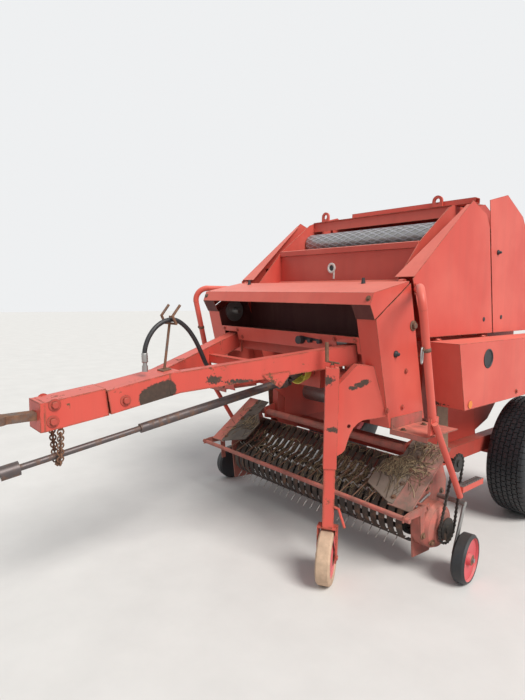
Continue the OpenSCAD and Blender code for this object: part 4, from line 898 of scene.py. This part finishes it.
# Bolts and rubber catches: node, the side that they are on, finish, width, places on that side. Every row is
# on the machine's two sides, and {} in a node's name stands for left and right. "Low Catch" is a catch that
# lies low.
BOLTS = [
    ("tail_covers", "x", "Black Rubber", 0.030, [(1.042, 1.860), (1.60, 1.62)]),
    ("tail_covers", "x", "Low Catch", 0.030, [(1.147, 1.431)]),
    ("upper_cover_{}", "x", "Low Catch", 0.030, [(0.186, 1.459), (0.90, 1.42)]),
    ("net_box", "x", "Black Rubber", 0.034, [(-0.063, 1.251)]),
    ("net_box", "x", "Rusty Steel", 0.030, [(0.09, 1.399)]),
    ("net_box", "x", "Shade Paint", 0.016, [(0.02, 0.95), (-0.12, 0.95), (0.04, 1.15)]),
    ("control_panel", "-y", "Shade Paint", 0.014, [(0.585, 1.318), (0.44, 1.318), (0.40, 1.27)]),
    ("drawbar_head", "x", "Shade Paint", 0.028, [(-1.628, 1.062), (-1.637, 0.989), (-1.305, 1.045)]),
    ("drawbar", "-y", "Beam Paint", 0.020, [(0.585, 1.165)]),
    ("pickup_frame", "x", "Rusty Steel", 0.020, [(0.213, 0.507), (0.181, 0.475), (0.088, 0.216),
                                                 (0.34, 0.42)]),
    ("windguard", "x", "Rusty Steel", 0.020, [(0.018, 0.27)]),
    ("deflectors", "z", "Rusty Steel", 0.016, [(0.765, y) for y in (-0.06, 0.02, 0.10, 0.18, 0.25)]),
    ("side_box_{}", "x", "Shade Paint", 0.016, [(0.95, 0.97), (1.58, 0.97), (1.58, 1.25)]),
    ("chassis", "x", "Rusty Steel", 0.024, [(1.36, 0.53), (1.50, 0.53)]),
    ("tailgate", "y", "Shade Paint", 0.022, [(0.61, z) for z in (0.95, 1.20, 1.45, 1.70, 1.95)]),
    ("steps", "z", "Rusty Steel", 0.018, [(0.80, -0.05), (0.80, 0.15)]),
    ("net_lid", "-y", "Rusty Steel", 0.016, [(0.715, 1.545)]),
]
# Rubber catches: distance from the sheet, radius as a share of the width
CATCHES = {
    "Low Catch": [(-0.001, 0.5), (0.002, 0.5), (0.0035, 0.4)],
    "Black Rubber": [(-0.001, 0.55), (0.006, 0.55), (0.010, 0.34), (0.022, 0.28), (0.026, 0.16)],
}
# Where a sightline starts: beside the machine, and ahead of, behind or above it
BESIDE, BEYOND = 2.0, 3.0


def sightline(letter, side, a, b):
    """Where to look from at a place on the side that a letter stands for, and which way that side faces."""
    if letter == "x":
        return Vector((side * BESIDE, a, b)), Vector((side, 0, 0))
    if letter == "z":
        return Vector((side * a, b, BEYOND)), Vector((0, 0, 1))
    way = -1 if letter == "-y" else 1
    return Vector((side * a, way * BEYOND, b)), Vector((0, way, 0))


class BALER_OT_bolts(bpy.types.Operator):
    """Sets bolts and rubber catches on the sheets"""

    bl_idname = "baler.bolts"
    bl_label = "Bolts"

    def execute(self, context):
        body_of = {node: body for body, nodes in frame["record"]["behaviour"]["bodies"].items()
                   for node in nodes}
        shapes = {}
        for node, letter, finish, width, places in BOLTS:
            for side, name in SIDES:
                label = node.format(name)
                skin = Skin(label)
                for a, b in places:
                    start, out = sightline(letter, side, a, b)
                    place, normal = skin.hit(start, -out)
                    if place is None:
                        continue
                    shape = shapes.setdefault(body_of[label], Shape())
                    if finish in CATCHES:
                        profile = [(d, width * r) for d, r in CATCHES[finish]]
                        shape.lathe(place, normal, profile, "Black Rubber", 16)
                    else:
                        shape.bolt(place, normal, width, finish)
        for body, shape in shapes.items():
            shape.piece(f"bolts_{body}", body)
        return {"FINISHED"}


class BALER_OT_hose(bpy.types.Operator):
    """Makes the hydraulic hose that lies over its holder"""

    bl_idname = "baler.hose"
    bl_label = "Hose"

    def execute(self, context):
        line = smooth_line([(HOSE_X, y / 1000, z / 1000) for y, z in HOSE_WAY], 6)
        hose = Shape()
        hose.tube(line, HOSE_R, "Hose Rubber", sides=16)
        made = hose.piece("hose", "frame", "black_hose")
        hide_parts("hydraulic_hose")
        ends = Shape()
        for place, way in ((line[0], line[2] - line[0]), (line[-1], line[-3] - line[-1])):
            ends.lathe(place, way, SLEEVE, "Bright Steel", 18)
        ferrules = ends.piece("hose_ferrules", "frame", "bare_steel")
        return {"FINISHED"}


# Small fittings. Turned profiles are pairs of distance and radius.
# The clamp on the left bow, half the size of its eye, and how many parts the hook's turn has, one of them
# its gate
CLAMP_PLACE, CLAMP_WAY = (0.976, -0.1505, 1.300), (0, 0.24, -0.97)
CLAMP = [(-0.009, 0.0195), (-0.009, 0.0225), (0.009, 0.0225), (0.009, 0.0195)]
EYE_HALF, HOOK_PARTS = Vector((0.004, 0.006, 0.009)), 24
# The cup in a side box's port
PORT = [(-0.0005, 0.050), (-0.0005, 0.057), (0.0025, 0.057), (0.004, 0.053), (0.004, 0.0485),
        (0.0, 0.047), (-0.026, 0.044), (-0.027, 0.018), (-0.022, 0.014), (-0.022, 0.002)]
# The ring on the front wall: where its sightline starts, its profile, and that of the disc in it
RING_PLACE = (-0.080, 0.0, 1.750)
RING = [(-0.001, 0.036), (0.004, 0.0365), (0.007, 0.033), (0.007, 0.024), (0.004, 0.020), (-0.001, 0.020)]
# The disc is black: painted shade that stands for the dark inside of the ring's hole
RING_SHADE_DISC = [(0.0002, 0.0205), (0.0012, 0.0205)]


class BALER_OT_fittings(bpy.types.Operator):
    """Makes the bows' clamps and snap hook, the side boxes' port cups and the ring on the front wall"""

    bl_idname = "baler.fittings"
    bl_label = "Fittings"

    def execute(self, context):
        hook = Shape()
        for side, _ in SIDES:
            centre, way = Vector((side * CLAMP_PLACE[0], *CLAMP_PLACE[1:])), Vector(CLAMP_WAY)
            hook.lathe(centre, way, CLAMP, "Rusty Steel", 24, loop=True)
            eye = centre + Vector((0, -0.026, 0.004))
            hook.block(eye - EYE_HALF, eye + EYE_HALF, "Rusty Steel")
            if side > 0:
                turns = [2 * math.pi * i / HOOK_PARTS for i in range(HOOK_PARTS - 1)]
                bent = [
                    eye + Vector((0.004 * math.sin(a), -0.012 - 0.015 * math.sin(a),
                                  -0.030 + 0.040 * math.cos(a)))
                    for a in turns
                ]
                gap = Vector((0, 0.002, 0))
                hook.tube(bent, 0.0038, "Bright Steel")
                hook.rod(bent[0] + gap, bent[-1] - gap, 0.0032, "Bright Steel")
        hook.piece("bow_clamps", "frame", "bare_steel")
        for side, name in SIDES:
            cup = Shape()
            cup.lathe((side * PORT_PLACE[0], *PORT_PLACE[1:]), (side, 0, 0), PORT, "Black Rubber", 32)
            cup.piece(f"port_{name}", f"side_box_{name}", "black_hose")
        ring = Shape()
        place, normal = Skin("chamber_front").hit(RING_PLACE, (0, 1, 0))
        ring.lathe(place, normal, RING, "White Rubber", 32, loop=True)
        # The black disc is painted shade for the dark inside of the ring's hole
        ring.lathe(place, normal, RING_SHADE_DISC, "Black Rubber", 24)
        down = place + Vector((0.022, 0, -0.030))
        ring.block(down - Vector((0.007, 0.004, 0.045)), down + Vector((0.007, 0.001, 0.012)),
                   "White Rubber", 0.0015)
        ring.piece("wall_ring", "frame", "black_hose")
        return {"FINISHED"}


class BALER_OT_straw(bpy.types.Operator):
    """Scatters straw over the pickup and its deflectors"""

    bl_idname = "baler.straw"
    bl_label = "Straw"

    def execute(self, context):
        draw = random.Random(STRAW_SEED)
        skin = Skin("deflectors", "pickup_bands", "pickup_frame")
        straw = Shape()
        tones = list(STRAW_TONES)
        last = STALK_POINTS - 1
        for low, high, count, longest in STRAW:
            for _ in range(count):
                start = Vector((draw.uniform(low[0], high[0]), draw.uniform(low[1], high[1]), high[2]))
                turn = draw.gauss(*STALK_HEADING)
                bend = draw.uniform(-STALK_BEND, STALK_BEND)
                size = draw.uniform(STALK_SHORT, longest)
                path = []
                for i in range(STALK_POINTS):
                    a = turn + bend * i / last
                    spot = start + Vector((math.cos(a), math.sin(a), 0)) * size * i / last
                    place, _ = skin.hit(spot, (0, 0, -1))
                    if place is None or place.z < low[2] or (path and abs(place.z - path[-1].z) > STALK_STEP):
                        break
                    path.append(place + Vector((0, 0, STALK_LIFT + STALK_RISE * abs(math.sin(3 * i + turn)))))
                if len(path) >= 3:
                    straw.tube(path, draw.uniform(*STALK_R), draw.choice(tones), sides=4)
        straw.piece("straw", "pickup")
        return {"FINISHED"}


# Half the floor's size, the way that the main light shines, and how wide it is in the sky
FLOOR_HALF = 40
LIGHT_WAY, LIGHT_WIDE = (-0.70, 0.05, -0.72), math.radians(28)


class BALER_OT_stage(bpy.types.Operator):
    """Puts up the floor, the light and the camera"""

    bl_idname = "baler.stage"
    bl_label = "Stage"

    def execute(self, context):
        stage = context.scene.baler_stage
        mesh = bpy.data.meshes.new("floor")
        shape = bmesh.new()
        bmesh.ops.create_grid(shape, x_segments=8, y_segments=8, size=FLOOR_HALF)
        shape.to_mesh(mesh)
        shape.free()
        floor = bpy.data.objects.new("floor", mesh)
        context.scene.collection.objects.link(floor)
        n, shader = new_material("Floor")
        tone = tuple(stage.floor)
        cloud = n.ramp(n.noise(3, 5), 0.3, 0.7)
        n.feed(shader.inputs["Base Color"], n.mix(cloud, tone, tuple(0.93 * c for c in tone)))
        shader.inputs["Roughness"].default_value = 0.9
        mesh.materials.append(bpy.data.materials["Floor"])

        world = bpy.data.worlds.new("Studio")
        context.scene.world = world
        world.use_nodes = True
        n = Nodes(world.node_tree)
        glow = world.node_tree.nodes["Background"]
        glow.inputs["Color"].default_value = (0.93, 0.97, 1.0, 1)
        glow.inputs["Strength"].default_value = stage.fill
        seen = n.add("Background", {"Color": tuple(stage.backdrop), "Strength": 1.0})
        rays = n.add("LightPath")
        shown = n.math("MAXIMUM", rays.outputs["Is Glossy Ray"], rays.outputs["Is Transmission Ray"])
        picked = n.add("MixShader", {"Fac": n.math("MAXIMUM", rays.outputs["Is Camera Ray"], shown)})
        n.feed(picked.inputs[1], glow.outputs[0])
        n.feed(picked.inputs[2], seen.outputs[0])
        n.feed(world.node_tree.nodes["World Output"].inputs["Surface"], picked.outputs[0])

        light = bpy.data.lights.new("Main light", "SUN")
        light.energy = stage.sun
        light.angle = LIGHT_WIDE
        light.color = (1.0, 0.97, 0.93)
        lamp = bpy.data.objects.new("Main light", light)
        lamp.rotation_euler = Vector(LIGHT_WAY).to_track_quat("-Z", "Y").to_euler()
        context.scene.collection.objects.link(lamp)

        lens = bpy.data.cameras.new("Camera")
        lens.lens = stage.lens
        lens.sensor_width = 36
        camera = bpy.data.objects.new("Camera", lens)
        camera.location = stage.eye
        camera.rotation_euler = stage.turn
        context.scene.collection.objects.link(camera)
        context.scene.camera = camera
        context.scene.view_settings.view_transform = "Standard"
        return {"FINISHED"}


class BALER_PT_panel(bpy.types.Panel):
    """Lists the baler's steps in the sidebar"""

    bl_idname = "BALER_PT_panel"
    bl_label = "Round Baler"
    bl_space_type = "VIEW_3D"
    bl_region_type = "UI"
    bl_category = "Baler"

    def draw(self, context):
        for step in STEPS:
            self.layout.operator(step.bl_idname)


SETTINGS = {"baler_paint": BalerPaint, "baler_stage": BalerStage}
# The camera and the hose are made early
STEPS = [BALER_OT_stage, BALER_OT_finishes, BALER_OT_hose, BALER_OT_tyres, BALER_OT_roller, BALER_OT_bolts,
         BALER_OT_fittings, BALER_OT_straw]


def register():
    """Registers the settings, the steps and the panel."""
    for kind in [*SETTINGS.values(), *STEPS, BALER_PT_panel]:
        bpy.utils.register_class(kind)
    for name, kind in SETTINGS.items():
        setattr(bpy.types.Scene, name, bpy.props.PointerProperty(type=kind))


def unregister():
    """Takes them out again."""
    for name in SETTINGS:
        delattr(bpy.types.Scene, name)
    for kind in [BALER_PT_panel, *reversed(STEPS), *reversed(SETTINGS.values())]:
        bpy.utils.unregister_class(kind)


def main():
    """Runs every step in order."""
    register()
    for step in STEPS:
        area, action = step.bl_idname.split(".")
        getattr(getattr(bpy.ops, area), action)()


if __name__ == "__main__":
    main()
